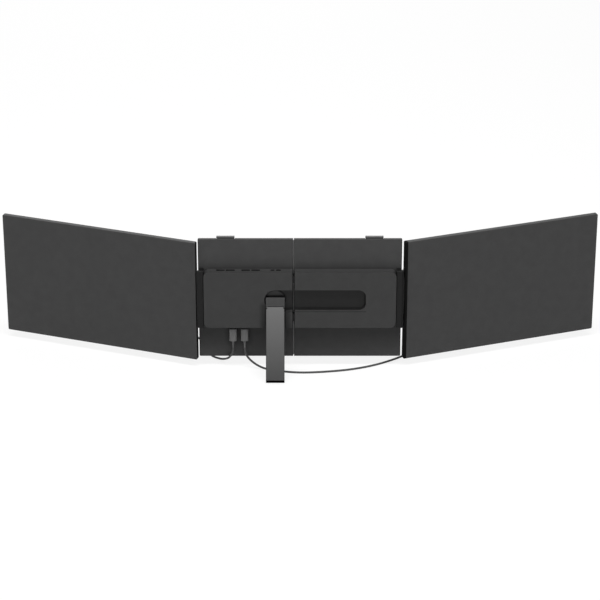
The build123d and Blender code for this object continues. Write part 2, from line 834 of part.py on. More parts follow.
with BuildPart() as stand_disc:
    depth_rod(pivot_x, pivot_z, floor_front_y - disc_lift, head_front_y, disc_radius)
    head_bottom = fold_z + knuckle_reach
    block(pivot_x - lug_outer, pivot_x + lug_outer, head_front_y, head_rear_y,
          head_bottom, pivot_z + head_rise)
    fillet(stand_disc.edges().filter_by(Axis.Y).group_by(Axis.Z)[-1], head_corner)
    for sign in (-1, 1):
        x0, x1 = pivot_x + sign * lug_outer, pivot_x + sign * lug_inner
        block(x0, x1, fold_y - leg_thickness / 2, head_rear_y, fold_z, head_bottom)
        cross_rod(x0, x1, fold_y, fold_z, leg_thickness / 2)
    cross_rod(pivot_x - lug_outer, pivot_x + lug_outer, fold_y, fold_z, fold_pin_radius, Mode.SUBTRACT)
save(stand_disc, "stand_disc")

with BuildPart() as stand_retainer:
    depth_rod(pivot_x, pivot_z, floor_front_y - disc_lift - retainer_thickness,
              floor_front_y - disc_lift, retainer_radius)
save(stand_retainer, "stand_retainer")

with BuildPart() as stand_fold_pin:
    cross_rod(pivot_x - lug_outer, pivot_x + lug_outer, fold_y, fold_z, fold_pin_radius)
save(stand_fold_pin, "stand_fold_pin")

# the leg's own axes: z runs up the leg to the fold pin, y is its thickness
leg_plane = Plane(
    origin=(pivot_x, fold_y, fold_z),
    x_dir=(1, 0, 0),
    z_dir=(0, -sin(radians(leg_tilt)), cos(radians(leg_tilt))),
)
with BuildPart(leg_plane) as stand_leg:
    half = leg_thickness / 2
    block(-lug_outer, lug_outer, -half, half, foot_length - leg_length, -knuckle_reach)
    fillet(stand_leg.edges().filter_by(lambda edge: edge.length > leg_length / 2), leg_edge)
    block(lug_gap - lug_inner, lug_inner - lug_gap, -half, half, -knuckle_reach, 0)
    cross_rod(lug_gap - lug_inner, lug_inner - lug_gap, 0, 0, half)
    cross_rod(-lug_outer, lug_outer, 0, 0, fold_pin_radius + fold_clearance, Mode.SUBTRACT)
save(stand_leg, "stand_leg")

with BuildPart(leg_plane) as stand_foot:
    block(-lug_outer, lug_outer, -half, half, -leg_length, foot_length - leg_length)
    fillet(stand_foot.faces().sort_by(Axis.Z)[0].edges(), foot_edge)
save(stand_foot, "stand_foot")


# -------------------------------------------------------------------- the side screens
screen_low = screen_z - screen_height / 2
screen_high = screen_z + screen_height / 2
screen_u1 = screen_width - hinge_inset


def layer(side, u0, u1, v0, v1, z0, z1, mode=Mode.ADD):
    """A box of the screen: u runs outward from the hinge, v from the display face back."""
    block(u0, u1, side.sign * (side.face_v + v0), side.sign * (side.face_v + v1), z0, z1, mode)


def screen_panel(inset=0.0):
    """Draw the screen's outline, set in by a wall."""
    with Locations(((screen_u1 - hinge_inset) / 2, screen_z)):
        RectangleRounded(screen_width - 2 * inset, screen_height - 2 * inset, screen_corner - inset / 2)


def back_cover(side, label, u0, u1):
    """Rear shell of a screen between two distances from the hinge."""
    depth = screen_thickness - bezel_thickness
    with BuildPart(side.hinge_plane) as cover:
        with BuildSketch(side.sheet(bezel_thickness)):
            screen_panel()
        extrude(amount=-side.sign * depth)
        rear = cover.faces().sort_by(lambda face: face.center().dot(side.rearward))[-1]
        fillet(rear.edges(), screen_edge)
        with BuildSketch(side.sheet(bezel_thickness)):
            screen_panel(cover_wall)
        extrude(amount=-side.sign * (depth - cover_skin), mode=Mode.SUBTRACT)
        for z0, z1 in leaf_knuckles:
            middle = (z0 + z1) / 2
            layer(side, 0, leaf_outer_u, leaf_rear_v, screen_thickness - cover_skin,
                  middle - post_inset, middle + post_inset)
        with BuildSketch(side.sheet(screen_thickness - cover_skin)):
            with Locations(*driver_board_posts()):
                Circle(boss_radius)
        extrude(amount=side.sign * driver_board_gap)
        layer(side, u0, u1, 0, screen_thickness, screen_low, screen_high, Mode.INTERSECT)
    save(cover, label)


def driver_board_posts():
    """Places (u, z) of the posts under the driver board."""
    u0, z0 = driver_board_u + post_inset, screen_low + bezel_top + 2 * post_inset
    u1 = driver_board_u + driver_board_length - post_inset
    z1 = z0 + driver_board_height - 2 * post_inset
    return [(u, z) for u in (u0, u1) for z in (z0, z1)]


def bezel(side):
    """Front frame round the display, with the slot that the hinge turns in."""
    with BuildPart(side.hinge_plane) as frame:
        with BuildSketch(side.sheet(0)):
            screen_panel()
        extrude(amount=-side.sign * bezel_thickness)
        # one front edge is enough: the rounding runs on round the whole outline
        corner = side.hinge_plane.from_local_coords((-hinge_inset, side.sign * side.face_v, screen_z))
        fillet(frame.edges().filter_by(Axis.Z).sort_by_distance(corner)[0], bezel_edge)
        layer(side, bezel_hinge - hinge_inset, screen_u1 - bezel_outer, 0, bezel_thickness,
              screen_low + bezel_top, screen_high - bezel_top, Mode.SUBTRACT)
        layer(side, -slot_half_width, slot_half_width, 0, bezel_thickness,
              hinge_z0 - slot_extra, hinge_z1 + slot_extra, Mode.SUBTRACT)
    save(frame, f"{side.name}_bezel")


def display_layer(side, label, v0, thickness):
    """LCD or backlight: a sheet a little larger than the bezel's window."""
    with BuildPart(side.hinge_plane) as sheet:
        layer(side, bezel_hinge - hinge_inset - lcd_margin, screen_u1 - bezel_outer + lcd_margin,
              v0, v0 + thickness, screen_low + bezel_top - lcd_margin, screen_high - bezel_top + lcd_margin)
    save(sheet, f"{side.name}_{label}")


def driver_board(side):
    """Circuit board that drives the panel, on posts in the back cover."""
    rear = screen_thickness - cover_skin - driver_board_gap
    z0 = screen_low + bezel_top + post_inset
    with BuildPart(side.hinge_plane) as board:
        layer(side, driver_board_u, driver_board_u + driver_board_length,
              rear - driver_board_thickness, rear, z0, z0 + driver_board_height)
    save(board, f"{side.name}_driver_board")


# --------------------------------------------------------------------------- the hinges
def arm_outline(side):
    """Outline of a bracket arm, from the plate's pocket to the hinge axis.

    Distances along x are taken from the middle of the object, whichever the side.
    """
    edge = bracket_width / 2
    front, rear = cover_rear_y + bracket_plate_gap, skin_front_y - bracket_plate_gap
    axis = edge + flat_gap + hinge_inset
    if side is left:
        # over the face of the folded screen, under the face of the opened one
        low, high = arm_clearance - fold_gap, left.axis_y + left.face_v - arm_clearance
        outer = [(edge - arm_inset, rear), (edge - arm_inset, high + flat_gap)]
        outer += [(edge + flat_gap, high), (axis, high)]
        inner = [(axis, low), (edge - arm_inset, low), (edge - arm_inset - (front - low), front)]
        return outer + inner + [(bracket_plate_x0, front), (bracket_plate_x0, rear)]
    # between the rounded corners of the opened right screen and the folded left one
    opened = Vector(edge + flat_gap + bezel_edge, right.axis_y + right.face_v + bezel_edge)
    folded = Vector(screen_u1 - left.axis_x - bezel_edge, -fold_gap - bezel_edge)
    across = (opened - folded).normalized()
    along = Vector(across.Y, -across.X)
    upper = opened - across * (bezel_edge + arm_clearance)
    lower = folded + across * (bezel_edge + arm_clearance)
    upper_end = upper + along * arm_neck
    lower_end = lower + along * (2 * arm_neck)
    lower_start = lower - along * ((lower.Y - front) / along.Y)
    upper_start = upper - along * ((upper.X - edge + arm_inset) / along.X)
    outer = [(edge - arm_inset, rear), (edge - arm_inset, upper_start.Y), (upper_end.X, upper_end.Y)]
    ring = [(axis, right.axis_y + knuckle_radius), (axis, right.axis_y - knuckle_radius)]
    inner = [(lower_end.X, lower_end.Y), (lower_start.X, front)]
    return outer + ring + inner + [(bracket_plate_x0, front), (bracket_plate_x0, rear)]


def hinge_bracket(side):
    """Steel bracket: a plate in the pan, with two arms and knuckles."""
    with BuildPart() as bracket:
        front, rear = cover_rear_y + bracket_plate_gap, skin_front_y - bracket_plate_gap
        block(side.sign * bracket_plate_x0, side.outer_x - side.sign * bracket_plate_inset,
              front, rear, hinge_z0, hinge_z1)
        for z0, z1 in bracket_knuckles:
            with BuildSketch(Plane.XY.offset(z0)):
                with BuildLine():
                    Polyline(*[(side.sign * x, y) for x, y in arm_outline(side)], close=True)
                make_face()
                with Locations((side.axis_x, side.axis_y)):
                    Circle(knuckle_radius)
            extrude(amount=z1 - z0)
            rod(side.axis_x, side.axis_y, z0, z1, hinge_pin_radius, Mode.SUBTRACT)
        for z in (hub_z - hinge_screw_z, hub_z + hinge_screw_z):
            depth_rod(side.sign * hinge_screw_x, z, front, rear, boss_radius + boss_clearance, Mode.SUBTRACT)
    save(bracket, f"{side.name}_hinge_bracket")


def hinge_stations():
    """For each station: its outer end, the bracket knuckle's inner end, the leaf's ends."""
    (low0, low1), (high0, high1) = bracket_knuckles
    (leaf_low0, leaf_low1), (leaf_high0, leaf_high1) = leaf_knuckles
    return ((low0, low1, leaf_low0, leaf_low1), (high1, high0, leaf_high1, leaf_high0))


def hinge_pins(side):
    """A headed pin for each station, riveted over at its far end."""
    with BuildPart() as pins:
        for start, _, _, end in hinge_stations():
            up = 1 if end > start else -1
            far = end + up * pin_end_gap
            rod(side.axis_x, side.axis_y, start, far, hinge_pin_radius)
            rod(side.axis_x, side.axis_y, start - up * pin_head_thickness, start, pin_head_radius)
            rod(side.axis_x, side.axis_y, far, far + up * pin_head_thickness, pin_head_radius)
    save(pins, f"{side.name}_hinge_pins")


def hinge_washers(side):
    """Friction washers between the knuckles."""
    with BuildPart() as washers:
        for _, a, b, _ in hinge_stations():
            low, high = min(a, b) + hinge_clearance, max(a, b) - hinge_clearance
            rod(side.axis_x, side.axis_y, low, high, pin_head_radius)
            rod(side.axis_x, side.axis_y, low, high, hinge_pin_radius + hinge_clearance, Mode.SUBTRACT)
    save(washers, f"{side.name}_hinge_washers")


def hinge_leaf(side):
    """Steel leaf inside the screen, with knuckles that turn on the pins."""
    axis_v = -side.face_v
    with BuildPart(side.hinge_plane) as leaf:
        layer(side, leaf_inner - hinge_inset, leaf_outer_u, leaf_front_v, leaf_rear_v, hinge_z0, hinge_z1)
        for z0, z1 in leaf_knuckles:
            layer(side, -leaf_neck, leaf_neck, axis_v, leaf_front_v, z0, z1)
            rod(0, 0, z0, z1, knuckle_radius)
            rod(0, 0, z0, z1, hinge_pin_radius + hinge_clearance, Mode.SUBTRACT)
    save(leaf, f"{side.name}_hinge_leaf")


leaf_front_v = bezel_thickness + leaf_gap
leaf_rear_v = leaf_front_v + leaf_thickness
lcd_v = bezel_thickness + layer_gap
backlight_v = lcd_v + lcd_thickness + layer_gap
strip_end_u = edge_strip_width - hinge_inset

for side in (left, right):
    bezel(side)
    display_layer(side, "lcd_panel", lcd_v, lcd_thickness)
    display_layer(side, "backlight", backlight_v, backlight_thickness)
    driver_board(side)
    hinge_bracket(side)
    hinge_pins(side)
    hinge_washers(side)
    hinge_leaf(side)

back_cover(left, "left_back_cover", -hinge_inset, screen_u1)
back_cover(right, "right_back_cover", strip_end_u, screen_u1)
back_cover(right, "right_screen_edge_strip", -hinge_inset, strip_end_u)


# ----------------------------------------------------------------------------- cables
@dataclass(frozen=True)
class Coil:
    """A flat coil of spare cable on the desk, wound in and out again at its outer turn."""

    x: float
    y: float
    columns: int

    @property
    def outer_radius(self):
        return (coil_mean_diameter + self.columns * cable_diameter) / 2

    @property
    def inner_radius(self):
        return (coil_mean_diameter - self.columns * cable_diameter) / 2


def outer_turn(columns):
    """Radius of a coil's outermost turn."""
    return (coil_mean_diameter + (columns - 1) * cable_diameter) / 2


def plugs(label, planes, coils=()):
    """USB-C plugs; each plane lies on a plug's nose face, its z axis towards the tip."""
    with BuildPart() as group:
        for nose in planes:
            with BuildSketch(nose.offset(-plug_length)):
                RectangleRounded(plug_width, plug_thickness, plug_corner)
            extrude(amount=plug_length - collar_length)
            for end in (-collar_length, -plug_length):
                fillet(group.faces().sort_by_distance(nose.offset(end).origin)[0].edges(), plug_edge)
            with BuildSketch(nose.offset(-collar_length)):
                RectangleRounded(collar_width, collar_thickness, collar_thickness * plug_corner / plug_thickness)
            extrude(amount=collar_length)
            with BuildSketch(nose):
                SlotOverall(tip_width, tip_thickness)
            extrude(amount=tip_length)
            with BuildSketch(nose.offset(tip_length - tongue_length)):
                Rectangle(tip_slot_width, tip_slot_thickness)
            extrude(amount=tongue_length, mode=Mode.SUBTRACT)
            with BuildSketch(nose.offset(-plug_length)):
                Circle(relief_diameter / 2)
            extrude(amount=-relief_length)
        for coil in coils:
            rod(coil.x, coil.y, desk_z, desk_z + plug_thickness, coil.outer_radius, Mode.SUBTRACT)
    save(group, label)


def arc_radii(points):
    """Largest fillet radius at each corner that its two runs allow."""
    radii = []
    for before, here, after in zip(points, points[1:], points[2:]):
        run_in, run_out = Vector(*here) - Vector(*before), Vector(*after) - Vector(*here)
        half_turn = radians(run_in.get_angle(run_out)) / 2
        radii.append(corner_share * min(run_in.length, run_out.length) / tan(half_turn))
    return radii


def cable(label, points, coil):
    """Tube along a hand-chosen route, cut where it runs into its coil."""
    radii = arc_radii(points)
    print(label, "radii", [round(radius, 1) for radius in radii])
    with BuildPart() as tube:
        with BuildLine() as route:
            FilletPolyline(*points, radius=radii)
        path = route.wire()
        with BuildSketch(Plane(origin=path @ 0, z_dir=path % 0)):
            Circle(cable_diameter / 2)
        sweep(path=path)
        full = pi * cable_diameter ** 2 / 4 * path.length
        print(label, "length", round(path.length, 1), "volume ratio", round(tube.part.volume / full, 4))
        rod(coil.x, coil.y, desk_z - cable_diameter, desk_z + 2 * cable_diameter,
            coil.outer_radius, Mode.SUBTRACT)
    save(tube, label)


def cable_coil(label, coil):
    """Outer shape of the coiled spare length, flat on the desk."""
    high = desk_z + coil_layers * cable_diameter
    with BuildPart() as ring:
        rod(coil.x, coil.y, desk_z, high, coil.outer_radius)
        fillet(ring.edges().group_by(Axis.Z)[-1], cable_diameter / 2)
        rod(coil.x, coil.y, desk_z, high, coil.inner_radius, Mode.SUBTRACT)
    save(ring, label)


# routes: from each hub plug down to the desk and out behind the screens
cable_1_points = [
    (102.5, 11.8, -80.4),
    (102.6, 11.8, -84.0),
    (103.4, 11.3, -88.0),
    (104.8, 10.1, -92.4),
    (106.8, 8.6, -96.6),
    (109.2, 7.5, -99.9),
    (111.4, 4.9, -102.7),
    (113.6, -0.4, -105.9),
    (117.2, -6.8, -109.8),
    (121.8, -13.2, on_desk),
    (127.6, -16.2, on_desk),
    (132.0, -19.2, on_desk),
    (135.6, -23.0, on_desk),
    (139.2, -28.4, on_desk),
    (144.4, -42.4, on_desk),
    (149.0, -62.0, on_desk),
    (155.4, -79.4, on_desk),
    (160.6, -88.2, on_desk),
    (170.2, -94.0, on_desk),
    (186.0, -94.0, on_desk),
]
coil_1_x, coil_1_start_y, _ = cable_1_points[-1]
coil_1 = Coil(coil_1_x, coil_1_start_y + outer_turn(coil_1_columns), coil_1_columns)
cable_2_points = [
    (84.8, 11.8, -80.4),
    (84.6, 12.1, -85.0),
    (83.9, 12.6, -89.0),
    (82.1, 13.1, -93.4),
    (79.0, 13.7, -98.0),
    (73.8, 15.0, -103.2),
    (67.2, 16.8, -107.6),
    (60.4, 18.4, -110.9),
    (52.4, 20.6, on_desk),
    (38.0, 25.6, on_desk),
    (23.4, 29.9, on_desk),
    (8.0, 32.4, on_desk),
    (-6.0, 33.1, on_desk),
    (-20.0, 32.4, on_desk),
    (-38.0, 30.4, on_desk),
    (-58.3, 27.2, on_desk),
    (-80.3, 22.0, on_desk),
    (-102.5, 13.9, on_desk),
    (-124.8, 2.7, on_desk),
    (-147.4, -13.0, on_desk),
    (-160.0, -23.6, on_desk),
    (-172.4, -35.6, on_desk),
    (-182.2, -48.0, on_desk),
    (-188.5, -60.6, on_desk),
    (-190.5, -73.6, on_desk),
]
coil_2_start_x, coil_2_y, _ = cable_2_points[-1]
coil_2 = Coil(coil_2_start_x - outer_turn(coil_2_columns), coil_2_y, coil_2_columns)

cable("cable_1", cable_1_points, coil_1)
cable("cable_2", cable_2_points, coil_2)
cable_coil("coil_1", coil_1)
cable_coil("coil_2", coil_2)

nose_z = hub_bottom_z - plug_standoff
hub_noses = [Plane(origin=(x, socket_y, nose_z), x_dir=(1, 0, 0), z_dir=(0, 0, 1)) for x in socket_x]
plugs("hub_plugs", hub_noses)


def laptop_plug_plane(coil, heading):
    """Nose of a plug that leaves its coil along +X or -X on the coil's near side."""
    turn = outer_turn(coil.columns)
    leave = sqrt(coil.outer_radius ** 2 - turn ** 2)
    nose = (
        coil.x + heading * (leave - cable_diameter + relief_length + plug_length),
        coil.y - turn,
        desk_z + plug_thickness / 2,
    )
    return Plane(origin=nose, x_dir=(0, 1, 0), z_dir=(heading, 0, 0))


laptop_noses = [laptop_plug_plane(coil_1, 1), laptop_plug_plane(coil_2, -1)]
plugs("laptop_plugs", laptop_noses, (coil_1, coil_2))
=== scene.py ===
"""Laptop screen extender: finishes, cables, small pieces, light and camera.

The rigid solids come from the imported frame.  This script dresses every one of them and
models the cables, plugs, ties, liners, screws and the stand's rubber foot.
"""

import logging
import math
from dataclasses import dataclass, field
from enum import Enum
from functools import cached_property
from typing import Callable, Sequence

import bmesh
import bpy
from mathutils import Matrix, Vector


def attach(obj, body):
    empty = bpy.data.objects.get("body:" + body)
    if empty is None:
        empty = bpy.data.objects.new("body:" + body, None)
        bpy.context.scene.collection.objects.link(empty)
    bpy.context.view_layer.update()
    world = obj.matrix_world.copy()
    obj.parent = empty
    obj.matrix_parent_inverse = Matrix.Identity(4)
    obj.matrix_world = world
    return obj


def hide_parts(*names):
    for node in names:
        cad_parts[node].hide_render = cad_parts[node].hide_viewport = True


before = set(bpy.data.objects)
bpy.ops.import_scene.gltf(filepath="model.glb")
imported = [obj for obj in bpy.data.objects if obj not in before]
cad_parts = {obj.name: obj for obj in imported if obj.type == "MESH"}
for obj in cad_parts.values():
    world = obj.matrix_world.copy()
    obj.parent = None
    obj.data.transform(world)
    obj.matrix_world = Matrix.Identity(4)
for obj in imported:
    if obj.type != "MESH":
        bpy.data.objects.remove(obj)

MM = 0.001
log = logging.getLogger("screen_extender")

Point = tuple[float, float, float]
Socket = bpy.types.NodeSocket
Test = Callable[[Vector, Vector], bool]

WHITE = (1.0, 1.0, 1.0, 1.0)
STRAIGHT = 0.9


# --------------------------------------------------------------------------- helpers
def grey(level: float) -> tuple[float, float, float, float]:
    """Turn a display grey into a linear colour, by the sRGB curve.

    Args:
        level: Display value from 0 to 255.

    Returns:
        Linear red, green, blue and alpha.
    """
    share = level / 255
    value = ((share + 0.055) / 1.055) ** 2.4 if level > 10 else share / 12.92
    return (value, value, value, 1.0)


def scaled(colour: Sequence[float], share: float) -> tuple[float, ...]:
    """Lighten or darken a linear colour."""
    return (*(channel * share for channel in colour[:3]), 1.0)


def eased(share: float) -> float:
    """Ease a share in and out between 0 and 1."""
    share = min(max(share, 0.0), 1.0)
    return share * share * (3 - 2 * share)


def facing(axis: str, way: int) -> Test:
    """Test for faces that look one way along an axis, 1 up it and -1 down it."""
    return lambda middle, normal: way * getattr(normal, axis) > STRAIGHT


def along(axis: str) -> Test:
    """Test for edges that run along an axis, or faces that look either way along it."""
    return lambda middle, line: abs(getattr(line, axis)) > STRAIGHT


def metres(points: Sequence[Point]) -> list[Vector]:
    """Scale points from millimetres to metres."""
    return [Vector(point) * MM for point in points]


class Bench:
    """One mesh on the bench: started from a primitive and shaped in edit mode.

    Sizes are in millimetres.  Every step leaves the object at the origin with its
    place in its mesh.
    """

    MERGE = 0.005
    SHARP_ANGLE = 30.0

    def __init__(self, name: str) -> None:
        """Clear the selection and remember the piece's name.

        Args:
            name: Name of the finished piece.
        """
        self.name = name
        self.piece: bpy.types.Object | None = None
        if bpy.context.object and bpy.context.object.mode != "OBJECT":
            bpy.ops.object.mode_set(mode="OBJECT")
        bpy.ops.object.select_all(action="DESELECT")

    def _started(self) -> "Bench":
        """Take the new primitive, name it and put its place in its mesh."""
        self.piece = bpy.context.active_object
        self.piece.name = self.name
        self.piece.data.name = self.name
        bpy.ops.object.transform_apply(location=True, rotation=True, scale=True)
        return self

    def cube(self, size: Point, centre: Point = (0, 0, 0)) -> "Bench":
        """Start from a box.

        Args:
            size: Width, depth and height.
            centre: Middle of the box.

        Returns:
            This bench.
        """
        bpy.ops.mesh.primitive_cube_add(size=MM, location=Vector(centre) * MM, scale=size)
        return self._started()

    def cylinder(self, radius: float, height: float, centre: Point, sides: int = 32) -> "Bench":
        """Start from an upright cylinder.

        Args:
            radius: Radius of the cylinder.
            height: Height of the cylinder.
            centre: Middle of the cylinder.
            sides: Number of sides.

        Returns:
            This bench.
        """
        bpy.ops.mesh.primitive_cylinder_add(
            vertices=sides, radius=radius * MM, depth=height * MM, location=Vector(centre) * MM
        )
        return self._started()

    def plane(self, size: float, centre: Point = (0, 0, 0)) -> "Bench":
        """Start from a level square.

        Args:
            size: Side of the square.
            centre: Middle of the square.

        Returns:
            This bench.
        """
        bpy.ops.mesh.primitive_plane_add(size=size * MM, location=Vector(centre) * MM)
        return self._started()

    def _edit(self, mode: str) -> "bmesh.types.BMesh":
        """Enter edit mode with nothing selected.

        Args:
            mode: VERT, EDGE or FACE.

        Returns:
            The mesh being edited.
        """
        if self.piece.mode != "EDIT":
            bpy.context.view_layer.objects.active = self.piece
            bpy.ops.object.mode_set(mode="EDIT")
        bpy.ops.mesh.select_mode(type=mode)
        bpy.ops.mesh.select_all(action="DESELECT")
        return bmesh.from_edit_mesh(self.piece.data)

    def faces(self, wanted: Test) -> "Bench":
        """Select faces by their middle and normal.

        Args:
            wanted: Test of a face's middle, in millimetres, and its normal.

        Returns:
            This bench.
        """
        mesh = self._edit("FACE")
        for face in mesh.faces:
            face.select_set(bool(wanted(face.calc_center_median() / MM, face.normal)))
        mesh.select_flush_mode()
        bmesh.update_edit_mesh(self.piece.data)
        return self

    def edges(self, wanted: Test) -> "Bench":
        """Select edges by their middle and direction.

        Args:
            wanted: Test of an edge's middle, in millimetres, and its unit direction.

        Returns:
            This bench.
        """
        mesh = self._edit("EDGE")
        for edge in mesh.edges:
            a, b = (vert.co for vert in edge.verts)
            edge.select_set(bool(wanted((a + b) / 2 / MM, (b - a).normalized())))
        bmesh.update_edit_mesh(self.piece.data)
        return self

    def all(self) -> "Bench":
        """Select the whole mesh."""
        self._edit("FACE")
        bpy.ops.mesh.select_all(action="SELECT")
        return self

    def extrude(self, move: Point, scale: Point = (1, 1, 1), centre: Point = (0, 0, 0)) -> "Bench":
        """Extrude the selected faces, then scale them about a point.

        Args:
            move: How far the new faces go.
            scale: Scale of the new faces on each axis.
            centre: Fixed point of the scaling.

        Returns:
            This bench.
        """
        bpy.ops.mesh.extrude_region_move(TRANSFORM_OT_translate={"value": Vector(move) * MM})
        if tuple(scale) != (1, 1, 1):
            bpy.ops.transform.resize(value=scale, center_override=Vector(centre) * MM)
        return self

    def inset(self, thickness: float, depth: float = 0.0) -> "Bench":
        """Inset the selected faces.

        Args:
            thickness: Width of the new rim.
            depth: How far the inner faces move out along their normal.

        Returns:
            This bench.
        """
        bpy.ops.mesh.inset(thickness=thickness * MM, depth=depth * MM)
        return self

    def bevel(self, offset: float, segments: int = 3) -> "Bench":
        """Round the selected edges.

        Args:
            offset: Width of the rounding.
            segments: Number of its steps.

        Returns:
            This bench.
        """
        bpy.ops.mesh.bevel(
            offset=offset * MM, segments=segments, affect="EDGES", clamp_overlap=True
        )
        return self

    def bridge(self) -> "Bench":
        """Open a tunnel between the two selected faces."""
        bpy.ops.mesh.bridge_edge_loops()
        return self

    def spin(self, steps: int, degrees: float, centre: Point, axis: Point) -> "Bench":
        """Sweep the selected faces round an axis.

        Args:
            steps: Number of steps.
            degrees: Angle of the whole sweep.
            centre: A point on the axis.
            axis: Direction of the axis.

        Returns:
            This bench.
        """
        angle = math.radians(degrees)
        bpy.ops.mesh.spin(steps=steps, angle=angle, center=Vector(centre) * MM, axis=axis)
        return self

    def cut(self, other: "bpy.types.Object") -> "Bench":
        """Cut another mesh out of this one and delete it.

        Args:
            other: The cutter.

        Returns:
            This bench.
        """
        self._leave()
        tool = self.piece.modifiers.new("cut", "BOOLEAN")
        tool.operation, tool.object, tool.solver = "DIFFERENCE", other, "EXACT"
        self._activate()
        bpy.ops.object.modifier_apply(modifier=tool.name)
        bpy.data.objects.remove(other)
        return self

    def _leave(self) -> None:
        """Return to object mode."""
        if self.piece.mode == "EDIT":
            bpy.ops.object.mode_set(mode="OBJECT")

    def _activate(self) -> None:
        """Make this piece the only selected and the active one."""
        bpy.ops.object.select_all(action="DESELECT")
        self.piece.select_set(True)
        bpy.context.view_layer.objects.active = self.piece

    def done(self, round_edges: float = 0.0, segments: int = 2,
             smooth: float = 35.0) -> bpy.types.Object:
        """Finish the mesh: doubles merged, normals out, edges rounded, shading smoothed.

        Args:
            round_edges: Width of the rounding on every sharp edge.
            segments: Steps of that rounding.
            smooth: Largest angle that still shades smooth, in degrees.

        Returns:
            The finished piece.
        """
        self.all()
        bpy.ops.mesh.remove_doubles(threshold=self.MERGE * MM)
        bpy.ops.mesh.normals_make_consistent(inside=False)
        self._leave()
        self._activate()
        if round_edges:
            tool = self.piece.modifiers.new("round", "BEVEL")
            tool.width, tool.segments, tool.limit_method = round_edges * MM, segments, "ANGLE"
            tool.angle_limit = math.radians(self.SHARP_ANGLE)
            bpy.ops.object.modifier_apply(modifier=tool.name)
        bpy.ops.object.shade_smooth_by_angle(angle=math.radians(smooth))
        return self.piece


def placed_copy(piece: bpy.types.Object, name: str, place: Matrix) -> bpy.types.Object:
    """Copy a piece with its own mesh and put the copy's place in that mesh.

    Args:
        piece: The piece to copy.
        name: Name of the copy.
        place: Where the copy goes.

    Returns:
        The copy.
    """
    copy = piece.copy()
    copy.data = piece.data.copy()
    copy.name = copy.data.name = name
    copy.data.transform(place)
    bpy.context.scene.collection.objects.link(copy)
    return copy


def standing(origin: Point, up: Point, wide: Point) -> Matrix:
    """Place whose z axis points along up and x axis along wide.

    Args:
        origin: Its origin, in millimetres.
        up: Direction of its z axis.
        wide: Direction of its x axis.

    Returns:
        The 4 by 4 matrix.
    """
    z, x = Vector(up).normalized(), Vector(wide).normalized()
    turn = Matrix((x, z.cross(x), z)).transposed().to_4x4()
    return Matrix.Translation(Vector(origin) * MM) @ turn


# -------------------------------------------------------------------------- finishes
class Tree:
    """Short way to write the nodes of a material or of the surroundings."""

    def __init__(self, owner: "bpy.types.Material | bpy.types.World", cleared: bool = True) -> None:
        """Open the owner's nodes.

        Args:
            owner: Material or world.
            cleared: Whether the nodes that it starts with are taken out.
        """
        owner.use_nodes = True
        self.tree = owner.node_tree
        if cleared:
            self.tree.nodes.clear()

    def node(self, kind: str, **settings: object) -> bpy.types.Node:
        """Add a node.

        Args:
            kind: Type of the node.
            settings: Its properties.

        Returns:
            The node.
        """
        made = self.tree.nodes.new(kind)
        for key, value in settings.items():
            setattr(made, key, value)
        return made

    def link(self, source: Socket, target: Socket) -> None:
        """Link two sockets."""
        self.tree.links.new(source, target)

    def maths(self, operation: str, value: Socket, other: "Socket | float" = 0.0,
              clamped: bool = False) -> Socket:
        """Work out one sum.

        Args:
            operation: Name of the sum.
            value: Its first term.
            other: Its second term, a socket or a number.
            clamped: Whether the result is kept between 0 and 1.

        Returns:
            The result.
        """
        made = self.node("ShaderNodeMath", operation=operation, use_clamp=clamped)
        self.link(value, made.inputs[0])
        if isinstance(other, float):
            made.inputs[1].default_value = other
        else:
            self.link(other, made.inputs[1])
        return made.outputs[0]

    def white(self, kind: str, strength: float = 1.0) -> Socket:
        """Add a white emission or background.

        Args:
            kind: Type of its node.
            strength: Its strength.

        Returns:
            Its shader.
        """
        made = self.node(kind)
        made.inputs["Color"].default_value = WHITE
        made.inputs["Strength"].default_value = strength
        return made.outputs[0]

    def show(self, share: Socket, first: Socket, second: Socket, output: str) -> None:
        """Blend two shaders and send the blend to an output.

        Args:
            share: 0 for the first shader and 1 for the second.
            first: A shader.
            second: A shader.
            output: Type of the output's node.
        """
        mix = self.node("ShaderNodeMixShader")
        for source, target in zip((share, first, second), mix.inputs):
            self.link(source, target)
        self.link(mix.outputs[0], self.node(output).inputs["Surface"])


